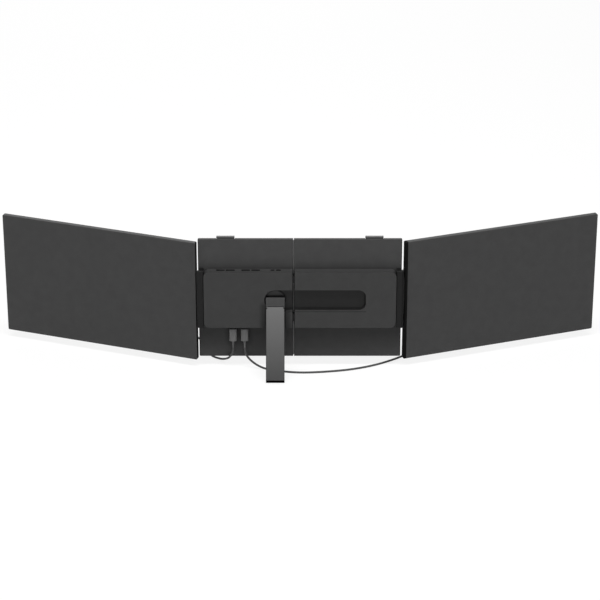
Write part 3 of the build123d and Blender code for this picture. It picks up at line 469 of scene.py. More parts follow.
class Graph(Tree):
    """Nodes of one finish, round its Principled shader."""

    def __init__(self, name: str) -> None:
        """Make an empty material with a Principled shader.

        Args:
            name: Name of the material.
        """
        self.material = bpy.data.materials.new(name)
        super().__init__(self.material, cleared=False)
        self.shader = self.tree.nodes["Principled BSDF"]
        self.place = self.node("ShaderNodeTexCoord").outputs["Object"]

    @cached_property
    def axes(self) -> "bpy.types.NodeOutputs":
        """X, Y and Z of the object coordinates."""
        split = self.node("ShaderNodeSeparateXYZ")
        self.link(self.place, split.inputs["Vector"])
        return split.outputs

    def stretched(self, scale: Point) -> Socket:
        """Object coordinates scaled on each axis."""
        mapping = self.node("ShaderNodeMapping")
        self.link(self.place, mapping.inputs["Vector"])
        mapping.inputs["Scale"].default_value = scale
        return mapping.outputs["Vector"]

    def noise(self, size: float, detail: float = 2.0, place: Socket | None = None) -> Socket:
        """Noise with features of a size in millimetres.

        Args:
            size: Size of a feature.
            detail: Finer octaves.
            place: Coordinates to read in place of the object's own.

        Returns:
            The noise value.
        """
        made = self.node("ShaderNodeTexNoise")
        self.link(place or self.place, made.inputs["Vector"])
        made.inputs["Scale"].default_value = 1 / (size * MM)
        made.inputs["Detail"].default_value = detail
        return made.outputs["Fac"]

    def spread(self, value: Socket, low: float, high: float,
               start: float = 0.3, end: float = 0.7) -> Socket:
        """Map a value from one range to another.

        Args:
            value: The value.
            low: Result at start.
            high: Result at end.
            start: Lower end of the value's range.
            end: Upper end of the value's range.

        Returns:
            The mapped value.
        """
        made = self.node("ShaderNodeMapRange")
        self.link(value, made.inputs["Value"])
        ranges = {"From Min": start, "From Max": end, "To Min": low, "To Max": high}
        for socket, number in ranges.items():
            made.inputs[socket].default_value = number
        return made.outputs["Result"]

    def blend(self, share: Socket, way: str = "MIX") -> tuple[Socket, Socket, Socket]:
        """Add a blend of two colours.

        Args:
            share: 0 for the first colour and 1 for the second.
            way: How they are blended.

        Returns:
            Sockets of the first colour, the second colour and the result.
        """
        made = self.node("ShaderNodeMix", data_type="RGBA", blend_type=way)
        self.link(share, made.inputs["Factor"])
        first, second = (socket for socket in made.inputs if socket.type == "RGBA")
        return first, second, next(out for out in made.outputs if out.type == "RGBA")

    def mixed(self, share: Socket, first: Sequence[float], second: Sequence[float]) -> Socket:
        """Blend two plain colours.

        Args:
            share: 0 for the first colour and 1 for the second.
            first: Linear colour.
            second: Linear colour.

        Returns:
            The blended colour.
        """
        low, high, result = self.blend(share)
        low.default_value, high.default_value = first, second
        return result

    def apart(self, axis: str, level: float) -> Socket:
        """Measure how far the surface lies from a level on one axis.

        Args:
            axis: X, Y or Z.
            level: The level, in millimetres.

        Returns:
            The distance, in metres.
        """
        return self.maths("ABSOLUTE", self.maths("SUBTRACT", self.axes[axis], level * MM))

    def inside(self, shade: "Shade") -> Socket:
        """Give 1 inside a shade's box, 0 outside it and a soft step between them.

        Args:
            shade: The shade.

        Returns:
            The mask.
        """
        mask = None
        for axis, low, high in zip("XYZ", shade.low, shade.high):
            away, half = self.apart(axis, (low + high) / 2), (high - low) / 2 * MM
            step = self.spread(away, 1, 0, half, half + shade.soft * MM)
            mask = step if mask is None else self.maths("MULTIPLY", mask, step)
        return mask

    def ringed(self, shade: "Shade") -> Socket:
        """Give 1 inside a shade's box and beyond its radius round an axis along Y.

        Args:
            shade: The shade.

        Returns:
            The mask.
        """
        mask = self.inside(shade)
        if shade.beyond:
            x, z, radius = shade.beyond
            sides = [self.maths("POWER", self.apart(*side), 2.0) for side in (("X", x), ("Z", z))]
            away = self.maths("SQRT", self.maths("ADD", *sides))
            ring = self.spread(away, 0, 1, radius * MM, (radius + shade.soft) * MM)
            mask = self.maths("MULTIPLY", mask, ring)
        return mask

    def paint(self, colour: Socket, shades: "Sequence[Shade]" = ()) -> None:
        """Give the shader its colour, with painted shade or light inside shades.

        Args:
            colour: The colour.
            shades: Boxes of painted shade or light.
        """
        for shade in shades:
            first, second, result = self.blend(self.ringed(shade), "MULTIPLY")
            self.link(colour, first)
            second.default_value = scaled(WHITE, shade.share)
            colour = result
        self.link(colour, self.shader.inputs["Base Color"])

    def sheen(self, pattern: Socket, middle: float, play: float) -> None:
        """Vary the roughness with a pattern.

        Args:
            pattern: The pattern.
            middle: The roughness.
            play: How far it strays to either side.
        """
        rough = self.spread(pattern, middle - play, middle + play)
        self.link(rough, self.shader.inputs["Roughness"])

    def bump(self, height: Socket, depth: float) -> None:
        """Raise the surface by a height pattern.

        Args:
            height: The pattern.
            depth: Its depth in millimetres.
        """
        made = self.node("ShaderNodeBump")
        self.link(height, made.inputs["Height"])
        made.inputs["Distance"].default_value = depth * MM
        self.link(made.outputs["Normal"], self.shader.inputs["Normal"])

    def set(self, **values: float) -> None:
        """Set numbers on the shader's own sockets; underscores stand for spaces."""
        for key, value in values.items():
            self.shader.inputs[key.replace("_", " ")].default_value = value


class Grain(Enum):
    """Surface of a moulded or coated piece: size and depth of its texture in millimetres."""

    SPARK = (0.28, 0.012)
    SATIN = (0.16, 0.004)
    SMOOTH = (0.6, 0.002)
    RUBBER = (0.45, 0.02)
    COATED = (0.35, 0.008)


@dataclass(frozen=True)
class Shade:
    """Painted shade or light: part of a surface whose colour is darker or paler, a box in its own
    coordinates.
    """

    low: Point
    high: Point
    share: float
    soft: float = 0.05
    beyond: Point | None = None


@dataclass(frozen=True)
class Moulded:
    """Moulded plastic or rubber with its grain, mottle, a slightly uneven sheen and any painted
    shade or light.
    """

    name: str
    level: float
    roughness: float = 0.5
    grain: Grain = Grain.SPARK
    specular: float = 0.3
    mottle: float = 0.05
    shades: tuple[Shade, ...] = ()
    cloud_size: float = 14.0
    wear_size: float = 5.0
    wear: float = 0.05

    def build(self) -> bpy.types.Material:
        """Make the material.

        Returns:
            The finished material.
        """
        graph = Graph(self.name)
        base = grey(self.level)
        cloud = graph.spread(graph.noise(self.cloud_size, 3.0), 0, 1)
        colour = graph.mixed(cloud, scaled(base, 1 - self.mottle), scaled(base, 1 + self.mottle))
        graph.paint(colour, self.shades)
        graph.sheen(graph.noise(self.wear_size, 4.0), self.roughness, self.wear)
        size, depth = self.grain.value
        graph.bump(graph.noise(size), depth)
        graph.set(Specular_IOR_Level=self.specular)
        return graph.material


@dataclass(frozen=True)
class Metal:
    """Rolled or plated metal with a fine brushed grain along one axis."""

    name: str
    level: float
    roughness: float = 0.3
    grain_axis: int = 2
    metallic: float = 1.0
    line_size: float = 0.25
    line_stretch: float = 0.04
    line_depth: float = 0.003
    streak: float = 0.1
    wear: float = 0.06

    def build(self) -> bpy.types.Material:
        """Make the material.

        Returns:
            The finished material.
        """
        graph = Graph(self.name)
        stretch = [1.0, 1.0, 1.0]
        stretch[self.grain_axis] = self.line_stretch
        lines = graph.noise(self.line_size, 3.0, graph.stretched(tuple(stretch)))
        base = grey(self.level)
        dull, bright = scaled(base, 1 - self.streak), scaled(base, 1 + self.streak)
        graph.paint(graph.mixed(graph.spread(lines, 0, 1), dull, bright))
        graph.sheen(lines, self.roughness, self.wear)
        graph.bump(lines, self.line_depth)
        graph.set(Metallic=self.metallic)
        return graph.material


@dataclass(frozen=True)
class Display:
    """Switched-off display: dark glass over a faint stripe of colour filters."""

    name: str
    stripes_scale: float = 1200.0
    dark: tuple[float, ...] = (0.004, 0.0045, 0.006, 1.0)
    pale: tuple[float, ...] = (0.0065, 0.007, 0.009, 1.0)
    smear_size: float = 40.0
    ripple: tuple[float, float] = (0.3, 0.001)

    def build(self) -> bpy.types.Material:
        """Make the material.

        Returns:
            The finished material.
        """
        graph = Graph(self.name)
        rows = graph.node("ShaderNodeTexWave", wave_type="BANDS", bands_direction="Z")
        graph.link(graph.place, rows.inputs["Vector"])
        rows.inputs["Scale"].default_value = self.stripes_scale
        graph.paint(graph.mixed(rows.outputs["Fac"], self.dark, self.pale))
        graph.sheen(graph.noise(self.smear_size, 3.0), 0.15, 0.05)
        size, depth = self.ripple
        graph.bump(graph.noise(size, 1.0), depth)
        return graph.material


@dataclass(frozen=True)
class Circuit:
    """Circuit board: green mask over faint copper tracks."""

    name: str
    scale: float = 180.0
    mask: tuple[float, ...] = (0.004, 0.035, 0.014, 1.0)
    pale_mask: tuple[float, ...] = (0.006, 0.05, 0.02, 1.0)
    track: tuple[float, ...] = (0.02, 0.09, 0.03, 1.0)
    wear_size: float = 2.0
    track_depth: float = 0.02

    def build(self) -> bpy.types.Material:
        """Make the material.

        Returns:
            The finished material.
        """
        graph = Graph(self.name)
        tracks = graph.node("ShaderNodeTexBrick")
        graph.link(graph.place, tracks.inputs["Vector"])
        tracks.inputs["Scale"].default_value = self.scale
        colours = {"Color1": self.mask, "Color2": self.pale_mask, "Mortar": self.track}
        for socket, colour in colours.items():
            tracks.inputs[socket].default_value = colour
        graph.paint(tracks.outputs["Color"])
        graph.sheen(graph.noise(self.wear_size), 0.375, 0.075)
        graph.bump(tracks.outputs["Fac"], self.track_depth)
        return graph.material


@dataclass(frozen=True)
class PaintedLightRamp:
    """Coated metal whose grey runs along one axis from one end's grey to the other's: a painted
    gradient of light and shade.
    """

    name: str
    top_level: float
    foot_level: float
    top: float
    foot: float
    axis: str = "Z"
    shades: tuple[Shade, ...] = ()
    roughness: float = 0.5
    wear_size: float = 3.0
    wear: float = 0.05
    specular: float = 0.3

    def build(self) -> bpy.types.Material:
        """Make the material.

        Returns:
            The finished material.
        """
        graph = Graph(self.name)
        # Painted light: the grey ramps along the axis, as light would fall on it.
        painted_ramp = graph.spread(graph.axes[self.axis], 0, 1, self.foot * MM, self.top * MM)
        colour = graph.mixed(painted_ramp, grey(self.foot_level), grey(self.top_level))
        graph.paint(colour, self.shades)
        graph.sheen(graph.noise(self.wear_size, 3.0), self.roughness, self.wear)
        size, depth = Grain.COATED.value
        graph.bump(graph.noise(size), depth)
        graph.set(Specular_IOR_Level=self.specular)
        return graph.material


class Finish(Enum):
    """Every finish used on the object."""

    SCREEN_BACK = Moulded("screen_back_finish", 60, 0.55, specular=0.12, shades=(
        # Painted shade: the left screen's inner edge beside the hinge cap, near black.
        Shade((150.0, -20.0, -110.0), (158.5, 13.0, 110.0), 0.1),
    ))
    PLATE = Moulded("plate_finish", 62, 0.55, specular=0.12, shades=(
        # Painted shadow of the hub over the lower plates.
        Shade((-160.0, 0.0, -110.0), (160.0, 20.0, -44.3), 0.84),
        # Painted shadow, deepest just under the hub and fading downwards.
        Shade((-160.0, 0.0, -58.0), (160.0, 20.0, -44.3), 0.62, 30.0),
        # Painted shade: a dark line along the hub's underside.
        Shade((-160.0, 0.0, -46.2), (160.0, 20.0, -44.3), 0.4, 0.6),
        # Painted shade round the hub's plugs.
        Shade((80.0, 0.0, -74.0), (108.0, 20.0, -44.3), 0.6, 9.0),
        # Painted shade: dark lines along both plates' outer edges.
        Shade((153.7, 0.0, -110.0), (160.0, 20.0, 110.0), 0.1),
        Shade((-160.0, 0.0, -110.0), (-153.7, 20.0, 110.0), 0.1),
    ))
    COVER = Moulded("cover_finish", 62, 0.6, specular=0.12, shades=(
        # Painted light: the cover paler along the seam, where it shows through the gap between the
        # plates.
        Shade((7.0, 2.1, -110.0), (12.4, 20.0, 110.0), 5.0),
    ))
    HUB = Moulded("hub_finish", 55, 0.5, specular=0.12, shades=(
        # Painted shade in the stand's recess.
        Shade((-101.0, 10.0, -15.0), (54.5, 17.5, 20.4), 0.36),
        # Painted shadow under the recess's upper wall.
        Shade((-101.0, 10.0, 16.6), (54.5, 17.5, 20.4), 0.6),
        # Painted shade on the recess's far end.
        Shade((-101.0, 10.0, -15.0), (-97.6, 17.5, 20.4), 0.5),
        # Painted shade in the slot behind the leg.
        Shade((22.0, 10.0, -46.0), (53.2, 17.5, -10.0), 0.4),
        # Painted shade: a dark line under the recess.
        Shade((-101.0, 17.5, -17.3), (18.0, 19.0, -15.9), 0.5),
        # Painted shadow of the leg on the hub, soft-edged.
        Shade((18.0, 17.5, -46.0), (57.0, 19.0, -6.0), 0.5, 6.0),
        # Painted shadow of the leg, darkest close behind it.
        Shade((21.9, 17.5, -46.0), (53.3, 19.0, 4.0), 0.35, 0.8),
    ))
    CAP = Moulded("cap_finish", 18, 0.5, specular=0.15, shades=(
        # Painted shade: the right cap's wing past the plate edge near black, as the gap behind it
        # lies in shadow.
        Shade((-170.0, 4.0, -60.0), (-154.8, 17.0, 60.0), 0.1),
    ))
    BUTTON = Moulded("button_finish", 2, 0.9, Grain.SATIN, 0.0)
    STAND_HEAD = Moulded("stand_head_finish", 62, 0.42, Grain.SATIN, 0.2, shades=(
        # Painted shade: the disc's face darker inside the recess.
        Shade((10.0, 0.0, -20.0), (65.0, 13.4, 25.0), 0.42),
        # Painted shade: a black ring round the disc, in the gap to the recess.
        Shade((10.0, 0.0, 7.3), (65.0, 17.0, 25.0), 0.1, 0.3, (37.6, 2.7, 13.4)),
        # Painted shadow: a black line above the head block.
        Shade((10.0, 0.0, 7.0), (65.0, 17.0, 8.6), 0.1, 0.3),
    ))
    # Painted light: the leg paler at the top, where the light falls, and darker towards the foot.
    LEG = PaintedLightRamp("leg_finish", 94, 52, -8.0, -114.0, shades=(
        # Painted shade along the leg's two long edges.
        Shade((20.0, 0.0, -130.0), (24.0, 80.0, 10.0), 0.2, 0.2),
        Shade((51.2, 0.0, -130.0), (55.0, 80.0, 10.0), 0.2, 0.2),
    ))
    FOOT = Moulded("foot_finish", 3, 0.9, Grain.RUBBER, 0.0)
    RUBBER = Moulded("black_rubber_finish", 22, 0.75, Grain.RUBBER, 0.15)
    PAD = Moulded("pad_finish", 30, 0.8, Grain.RUBBER, 0.15)
    BEZEL = Moulded("bezel_finish", 22, 0.42, Grain.SATIN, 0.08)
    # Painted highlight: the claw's top pale, darker towards its back.
    HOOK = PaintedLightRamp("hook_finish", 240, 22, -3.5, 1.4, "Y", shades=(
        # The claw's front, beyond the painted highlight, is dark again.
        Shade((-200.0, -20.0, 80.0), (200.0, -4.6, 110.0), 0.03),
    ))
    STEEL = Metal("steel_finish", 150, 0.32)
    PLATED = Metal("nickel_finish", 190, 0.2)
    SPRING = Metal("spring_finish", 140, 0.25)
    SCREW = Metal("screw_finish", 60, 0.35)
    DISPLAY = Display("display_finish")
    BACKLIGHT = Moulded("backlight_finish", 215, 0.5, Grain.SMOOTH)
    CIRCUIT = Circuit("circuit_finish")
    SWITCH = Moulded("switch_finish", 36, 0.4, Grain.SATIN)
    GUIDE = Moulded("guide_finish", 150, 0.45, Grain.SATIN)
    JACKET = Moulded("jacket_finish", 58, 0.45, Grain.SATIN)
    PLUG = Moulded("plug_finish", 88, 0.45, Grain.SATIN)
    TIE = Moulded("tie_finish", 26, 0.7, Grain.RUBBER, 0.2)
    # Painted shade: a near-black strip for the shadowed step at the right screen's inner edge.
    EDGE_SHADE = Moulded("edge_shade_finish", 14, 0.6, Grain.SATIN, 0.03)
    RAIL = Metal("rail_finish", 36, 0.5, 0, 0.6)

    def material(self) -> bpy.types.Material:
        """Give the finish's material, made on first use."""
        return bpy.data.materials.get(self.value.name) or self.value.build()

    def on(self, piece: bpy.types.Object) -> bpy.types.Object:
        """Put the finish on a piece.

        Args:
            piece: A mesh or a curve.

        Returns:
            The piece.
        """
        piece.data.materials.clear()
        piece.data.materials.append(self.material())
        return piece


def dress(finishes: dict[Finish, Sequence[str]]) -> None:
    """Put finishes on nodes of the frame.

    Args:
        finishes: For each finish, the nodes that take it.
    """
    for finish, names in finishes.items():
        for name in names:
            finish.on(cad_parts[name])
            log.info("%s: %s", name, finish.name.lower())


def keep(piece: bpy.types.Object, finish: Finish, body: str) -> bpy.types.Object:
    """Finish a new piece and let it ride on its body.

    Args:
        piece: The piece.
        finish: Its finish.
        body: Body that carries it.

    Returns:
        The piece.
    """
    finish.on(piece)
    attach(piece, body)
    log.info("%s rides on %s", piece.name, body)
    return piece


# ---------------------------------------------------------------------------- cables
@dataclass
class Winding:
    """A flat coil in two layers, wound inwards on the desk and outwards on top."""

    centre: tuple[float, float]
    radii: tuple[float, ...]
    start_degrees: float
    turning: int
    turns: float
    low_z: float
    pitch: float = 3.2
    points_per_turn: int = 16
    shift: float = 0.2
    climb: tuple[float, float] = (0.35, 0.62)

    def radius(self, turn: float) -> float:
        """Give the cable's radius.

        Args:
            turn: Turns from the start.

        Returns:
            Radius, eased from each turn's to the next over the turn's last part.
        """
        whole = min(int(turn), len(self.radii) - 1)
        after = self.radii[min(whole + 1, len(self.radii) - 1)]
        ease = eased((turn - whole - 1 + self.shift) / self.shift)
        return self.radii[whole] + (after - self.radii[whole]) * ease

    def height(self, turn: float) -> float:
        """Give the cable's height.

        Args:
            turn: Turns from the start.

        Returns:
            Height of the cable's middle.
        """
        first, last = self.climb
        start = self.radii.index(min(self.radii))
        return self.low_z + self.pitch * eased((turn - start - first) / (last - first))

    def points(self) -> list[Point]:
        """Control points of the turns, after the point where the cable comes in.

        The spline runs inside its control points, by the share pull_in.

        Returns:
            The points.
        """
        found = []
        step = 1 / self.points_per_turn
        pull_in = 0.75 + 0.25 * math.cos(math.tau * step)
        x, y = self.centre
        for index in range(1, round(self.turns * self.points_per_turn)):
            turn = index * step
            angle = math.radians(self.start_degrees) + self.turning * math.tau * turn
            reach = self.radius(turn) / pull_in
            across, back = x + reach * math.cos(angle), y + reach * math.sin(angle)
            found.append((across, back, self.height(turn)))
        return found


@dataclass
class Cable:
    """One lead: from its plug in the hub to the plug for the laptop."""

    name: str
    route: tuple[Point, ...]
    winding: Winding
    tail: tuple[Point, ...]
    heading: int
    tie_degrees: float
    nodes: tuple[str, str]
    diameter: float = 3.2
    length: float = 1000.0
    body: str = "left_half"
    tie_width: float = 7.0
    tie_play: float = 0.8
    tie_corner: float = 1.4
    tie_wall: float = 0.6
    clasp_height: float = 0.5
    line: bpy.types.Object = field(init=False, default=None)

    def lay(self) -> None:
        """Lay the lead as one smooth spline."""
        curve = bpy.data.curves.new(self.name, "CURVE")
        curve.dimensions = "3D"
        curve.bevel_depth = self.diameter / 2 * MM
        curve.bevel_resolution = 5
        curve.resolution_u = 6
        curve.use_fill_caps = True
        spline = curve.splines.new("NURBS")
        points = metres([*self.route, *self.winding.points(), *self.tail])
        spline.points.add(len(points) - 1)
        for target, point in zip(spline.points, points):
            target.co = (*point, 1.0)
        spline.order_u = 3
        spline.use_endpoint_u = True
        self.line = bpy.data.objects.new(self.name, curve)
        bpy.context.scene.collection.objects.link(self.line)
        keep(self.line, Finish.JACKET, self.body)
        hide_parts(*self.nodes)

    def tie(self) -> bpy.types.Object:
        """Strap round the coil's turns.

        Returns:
            The strap.
        """
        inner, outer = min(self.winding.radii), max(self.winding.radii)
        wide = outer - inner + self.diameter + 2 * self.tie_play
        tall = 2 * self.diameter + self.tie_play
        bench = Bench(f"{self.name}_tie").cube((wide, self.tie_width, tall))
        bench.edges(along("y")).bevel(self.tie_corner, 4)
        bench.faces(along("y")).inset(self.tie_wall).bridge()
        bench.faces(lambda middle, normal: normal.z > STRAIGHT and middle.z > 0)
        bench.extrude((0, 0, self.clasp_height), (0.7, 0.8, 1))
        piece = bench.done(0.15)
        angle = math.radians(self.tie_degrees)
        reach = (inner + outer) / 2
        x, y = self.winding.centre
        middle_z = self.winding.low_z - self.diameter / 2 + tall / 2
        middle = Vector((x + reach * math.cos(angle), y + reach * math.sin(angle), middle_z))
        piece.data.transform(Matrix.Translation(middle * MM) @ Matrix.Rotation(angle, 4, "Z"))
        return keep(piece, Finish.TIE, self.body)


@dataclass
class Plugs:
    """The four plugs of the two leads, with their ribbed reliefs and metal shells."""

    width: float = 11.4
    depth: float = 6.5
    length: float = 23.4
    collar: Point = (9.8, 5.0, 3.5)
    corner: float = 2.6
    collar_corner: float = 2.0
    tip: Point = (8.25, 2.4, 6.4)
    tip_hollow: float = 5.2
    rim: float = 0.3
    end_step: float = 0.25
    panel_rim: float = 0.9
    panel_groove: tuple[float, float] = (0.2, -0.15)
    relief_radius: float = 2.0
    relief_length: float = 12.0
    relief_root: float = 0.6
    relief_start: float = 1.0
    relief_ribs: int = 7
    relief_waist: float = 0.84
    relief_taper: float = 0.016
    socket_x: tuple[float, float] = (102.5, 84.8)
    socket_y: float = 11.8
    nose_z: float = -45.0
    pieces: list[list[bpy.types.Object]] = field(default_factory=list)

    def overmould(self) -> bpy.types.Object:
        """Plug body below its collar, with the plug's nose at the origin.

        Returns:
            The body.
        """
        start, end = -self.collar[2], -self.length
        middle_z = (start + end) / 2
        size = (self.width, self.depth, start - end)
        bench = Bench("plug_body").cube(size, (0, 0, middle_z))
        bench.edges(along("z")).bevel(self.corner, 8)
        bench.faces(facing("z", -1)).inset(self.rim).extrude((0, 0, self.end_step))
        bench.faces(lambda middle, normal: abs(normal.y) > 0.999)
        bench.inset(self.panel_rim).inset(*self.panel_groove)
        return bench.done(0.12)

    def neck(self) -> bpy.types.Object:
        """Narrow dark collar between the plug's body and its shell.

        Returns:
            The collar.
        """
        wide, deep, high = self.collar
        bench = Bench("plug_collar").cube((wide, deep, high), (0, 0, -high / 2))
        bench.edges(along("z")).bevel(self.collar_corner, 6)
        bench.faces(facing("z", 1)).inset(0.5).extrude((0, 0, -0.3))
        return bench.done(0.1)

    def shell(self) -> bpy.types.Object:
        """Hollow metal tip.

        Returns:
            The shell.
        """
        wide, deep, high = self.tip
        bench = Bench("plug_shell").cube((wide, deep, high), (0, 0, high / 2))
        bench.edges(along("z")).bevel(deep / 2 - 0.02, 8)
        bench.faces(facing("z", 1)).inset(self.rim).extrude((0, 0, -self.tip_hollow))
        return bench.done(0.06, 1)

    def relief(self) -> bpy.types.Object:
        """Ribbed relief that hangs below the plug body.

        Returns:
            The relief.
        """
        top, first, waist = self.relief_root - self.length, self.relief_start, self.relief_waist
        centre = (0, 0, top - first / 2)
        bench = Bench("plug_relief").cylinder(self.relief_radius, first, centre, 28)
        bench.faces(facing("z", -1))
        z = top - first
        run = (self.relief_length + self.relief_root - first) / self.relief_ribs
        for rib in range(1, self.relief_ribs + 1):
            regain = (1 - self.relief_taper * rib) / waist
            for share, scale in ((0.15, waist), (0.25, 1), (0.15, regain), (0.45, 1)):
                z -= run * share
                bench.extrude((0, 0, -run * share), (scale, scale, 1), (0, 0, z))
        return bench.done(smooth=50)

    def build(self, cables: Sequence[Cable]) -> None:
        """Model each part once and copy it to the four plugs.

        Args:
            cables: The two leads.
        """
        parts = {
            "body": (self.overmould(), Finish.PLUG, "plug_body"),
            "collar": (self.neck(), Finish.RUBBER, "plug_body"),
            "shell": (self.shell(), Finish.PLATED, "steel"),
            "relief": (self.relief(), Finish.PLUG, "cable_jacket"),
        }
        for cable, x in zip(cables, self.socket_x):
            end = cable.tail[-1]
            reach = self.relief_length + self.length
            places = {
                "hub": standing((x, self.socket_y, self.nose_z), (0, 0, 1), (1, 0, 0)),
                "laptop": standing((end[0] + cable.heading * reach, end[1], end[2]),
                                   (cable.heading, 0, 0), (0, 1, 0)),
            }
            group = []
            for where, place in places.items():
                for part, (piece, finish, slot) in parts.items():
                    copy = placed_copy(piece, f"{cable.name}_{where}_{part}", place)
                    group.append(keep(copy, finish, cable.body))
            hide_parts("hub_plugs")
            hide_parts("laptop_plugs")
            self.pieces.append(group)
        for piece, _, _ in parts.values():
            bpy.data.objects.remove(piece)


@dataclass
class Leads:
    """Both leads with their coils, ties and plugs."""

    desk_z: float = -114.63
    on_desk: float = -113.03

    def cables(self) -> list[Cable]:
        """Describe the two leads.

        Returns:
            The leads.
        """
        low = self.on_desk
        plug_z = self.desk_z + Plugs.depth / 2
        first = Cable(
            name="lead_1",
            route=(
                (102.5, 11.8, -80.4), (102.6, 11.8, -84.0), (103.4, 11.3, -88.0),
                (104.8, 10.1, -92.4), (106.8, 8.6, -96.6), (109.2, 7.5, -99.9),
                (111.4, 4.9, -102.7), (113.6, -0.4, -105.9), (117.2, -6.8, -109.8),
                (121.8, -13.2, low), (127.6, -16.2, low), (132.0, -19.2, low),
                (135.6, -23.0, low), (139.2, -28.4, low), (144.4, -42.4, low),
                (149.0, -62.0, low), (155.4, -79.4, low), (160.6, -88.2, low),
                (170.2, -94.0, low), (186.0, -94.0, low),
            ),
            winding=Winding(
                (186.0, -70.0), (23.2, 19.95, 16.7, 13.5, 16.7, 19.95, 23.2), -90, 1, 7.0, low
            ),
            tail=((186.0, -93.4, low + 3.0), (188.6, -93.8, low + 2.5), (191.7, -94.0, plug_z)),
            heading=1,
            tie_degrees=80,
            nodes=("cable_1", "coil_1"),
        )
        second = Cable(
            name="lead_2",
            route=(
                (84.8, 11.8, -80.4), (84.6, 12.1, -85.0), (83.9, 12.6, -89.0),
                (82.1, 13.1, -93.4), (79.0, 13.7, -98.0), (73.8, 15.0, -103.2),
                (67.2, 16.8, -107.6), (60.4, 18.4, -110.9), (52.4, 20.6, low),
                (38.0, 25.6, low), (23.4, 29.9, low), (8.0, 32.4, low),
                (-6.0, 33.1, low), (-20.0, 32.4, low), (-38.0, 30.4, low),
                (-58.3, 27.2, low), (-80.3, 22.0, low), (-102.5, 13.9, low),
                (-124.8, 2.7, low), (-147.4, -13.0, low), (-160.0, -23.6, low),
                (-172.4, -35.6, low), (-182.2, -48.0, low), (-188.5, -60.6, low),
                (-190.5, -73.6, low),
            ),
            winding=Winding(
                (-212.9, -73.6), (22.2, 18.95, 15.7, 18.95, 22.2, 22.2), 0, -1, 5.25, low
            ),
            tail=((-212.9, -96.0, low + 3.0), (-215.6, -96.0, low + 2.5), (-218.4, -96.0, plug_z)),
            heading=-1,
            tie_degrees=100,
            nodes=("cable_2", "coil_2"),
        )
        return [first, second]

    def build(self) -> None:
        cables = self.cables()
        plugs = Plugs()
        for cable in cables:
            cable.lay()
        plugs.build(cables)
        for cable, group in zip(cables, plugs.pieces):
            strap = cable.tie()


# ------------------------------------------------------------------------ the bracket
@dataclass
class Bracket:
    """Back plates, front covers, lid pads and their screws."""

    width: float = 309.2
    height: float = 197.6
    screw_radius: float = 1.8
    screw_height: float = 0.7
    head_y: float = 0.65
    screw_shank: float = 1.9
    cross: tuple[float, float, float] = (1.9, 0.44, 0.8)
    screw_from_edge: float = 7.0
    screw_from_top: float = 8.0
    seam_x: float = 9.7
    seam_half: float = 0.6
    hinge_screw_from_edge: float = 15.0
    hinge_screw_z: tuple[float, float] = (34.5, -29.5)

    def screw_places(self, sign: int) -> list[tuple[float, float]]:
        """Give the screws' places on one side.

        Args:
            sign: 1 for the left plate and -1 for the right one.

        Returns:
            X and Z of each screw.
        """
        outer = sign * (self.width / 2 - self.screw_from_edge)
        inner = self.seam_x + sign * (self.seam_half + self.screw_from_edge)
        high = self.height / 2 - self.screw_from_top
        hinge = sign * (self.width / 2 - self.hinge_screw_from_edge)
        corners = [(x, z) for x in (outer, inner) for z in (high, -high)]
        return [*corners, *((hinge, z) for z in self.hinge_screw_z)]

    def screw(self) -> bpy.types.Object:
        """Model one cross-head screw that points along Y.

        Returns:
            The screw.
        """
        top = self.screw_height
        long, narrow, deep = self.cross
        bars = [Bench("cross").cube((x, y, deep), (0, 0, top)).done()
                for x, y in ((long, narrow), (narrow, long))]
        bench = Bench("screw_head").cylinder(self.screw_radius, top, (0, 0, top / 2))
        bench.edges(lambda middle, way: middle.z > top - 0.05 and abs(way.z) < 0.1).bevel(0.2, 2)
        bench.faces(facing("z", -1)).inset(self.screw_radius / 2)
        bench.extrude((0, 0, -self.screw_shank))
        for bar in bars:
            bench.cut(bar)
        return bench.done(smooth=30)

    def build(self) -> None:
        """Dress the plates and fit the screws."""
        dress({
            Finish.PLATE: ("left_back_plate", "right_back_plate"),
            Finish.COVER: ("left_front_cover", "right_front_cover"),
            Finish.PAD: ("left_lid_pads", "right_lid_pads"),
            Finish.SCREW: ("left_cover_screws", "right_cover_screws"),
        })
        pattern = self.screw()
        for side, sign in (("left", 1), ("right", -1)):
            for number, (x, z) in enumerate(self.screw_places(sign), 1):
                place = standing((x, self.head_y + self.screw_height, z), (0, -1, 0), (1, 0, 0))
                copy = placed_copy(pattern, f"{side}_cover_screw_{number}", place)
                keep(copy, Finish.SCREW, f"{side}_half")
                if number == 1:
                    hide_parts(f"{side}_cover_screws")
        bpy.data.objects.remove(pattern)


@dataclass
class Hub:
    """Hub halves with their caps, buttons, boards and rails."""

    def build(self) -> None:
        """Dress the hub's pieces."""
        buttons = [f"{side}_{kind}_button" for side in ("left", "right")
                   for kind in ("brightness_up", "brightness_down", "mode")]
        dress({
            Finish.HUB: ("left_hub_shell", "right_hub_shell"),
            Finish.CAP: ("left_hinge_cap", "right_hinge_cap"),
            Finish.BUTTON: buttons,
            Finish.CIRCUIT: ("button_board", "main_board"),
            Finish.SWITCH: ("tact_switches",),
            Finish.PLATED: ("usb_sockets",),
            Finish.RAIL: ("guide_rails",),
            Finish.GUIDE: ("rail_guides",),
        })


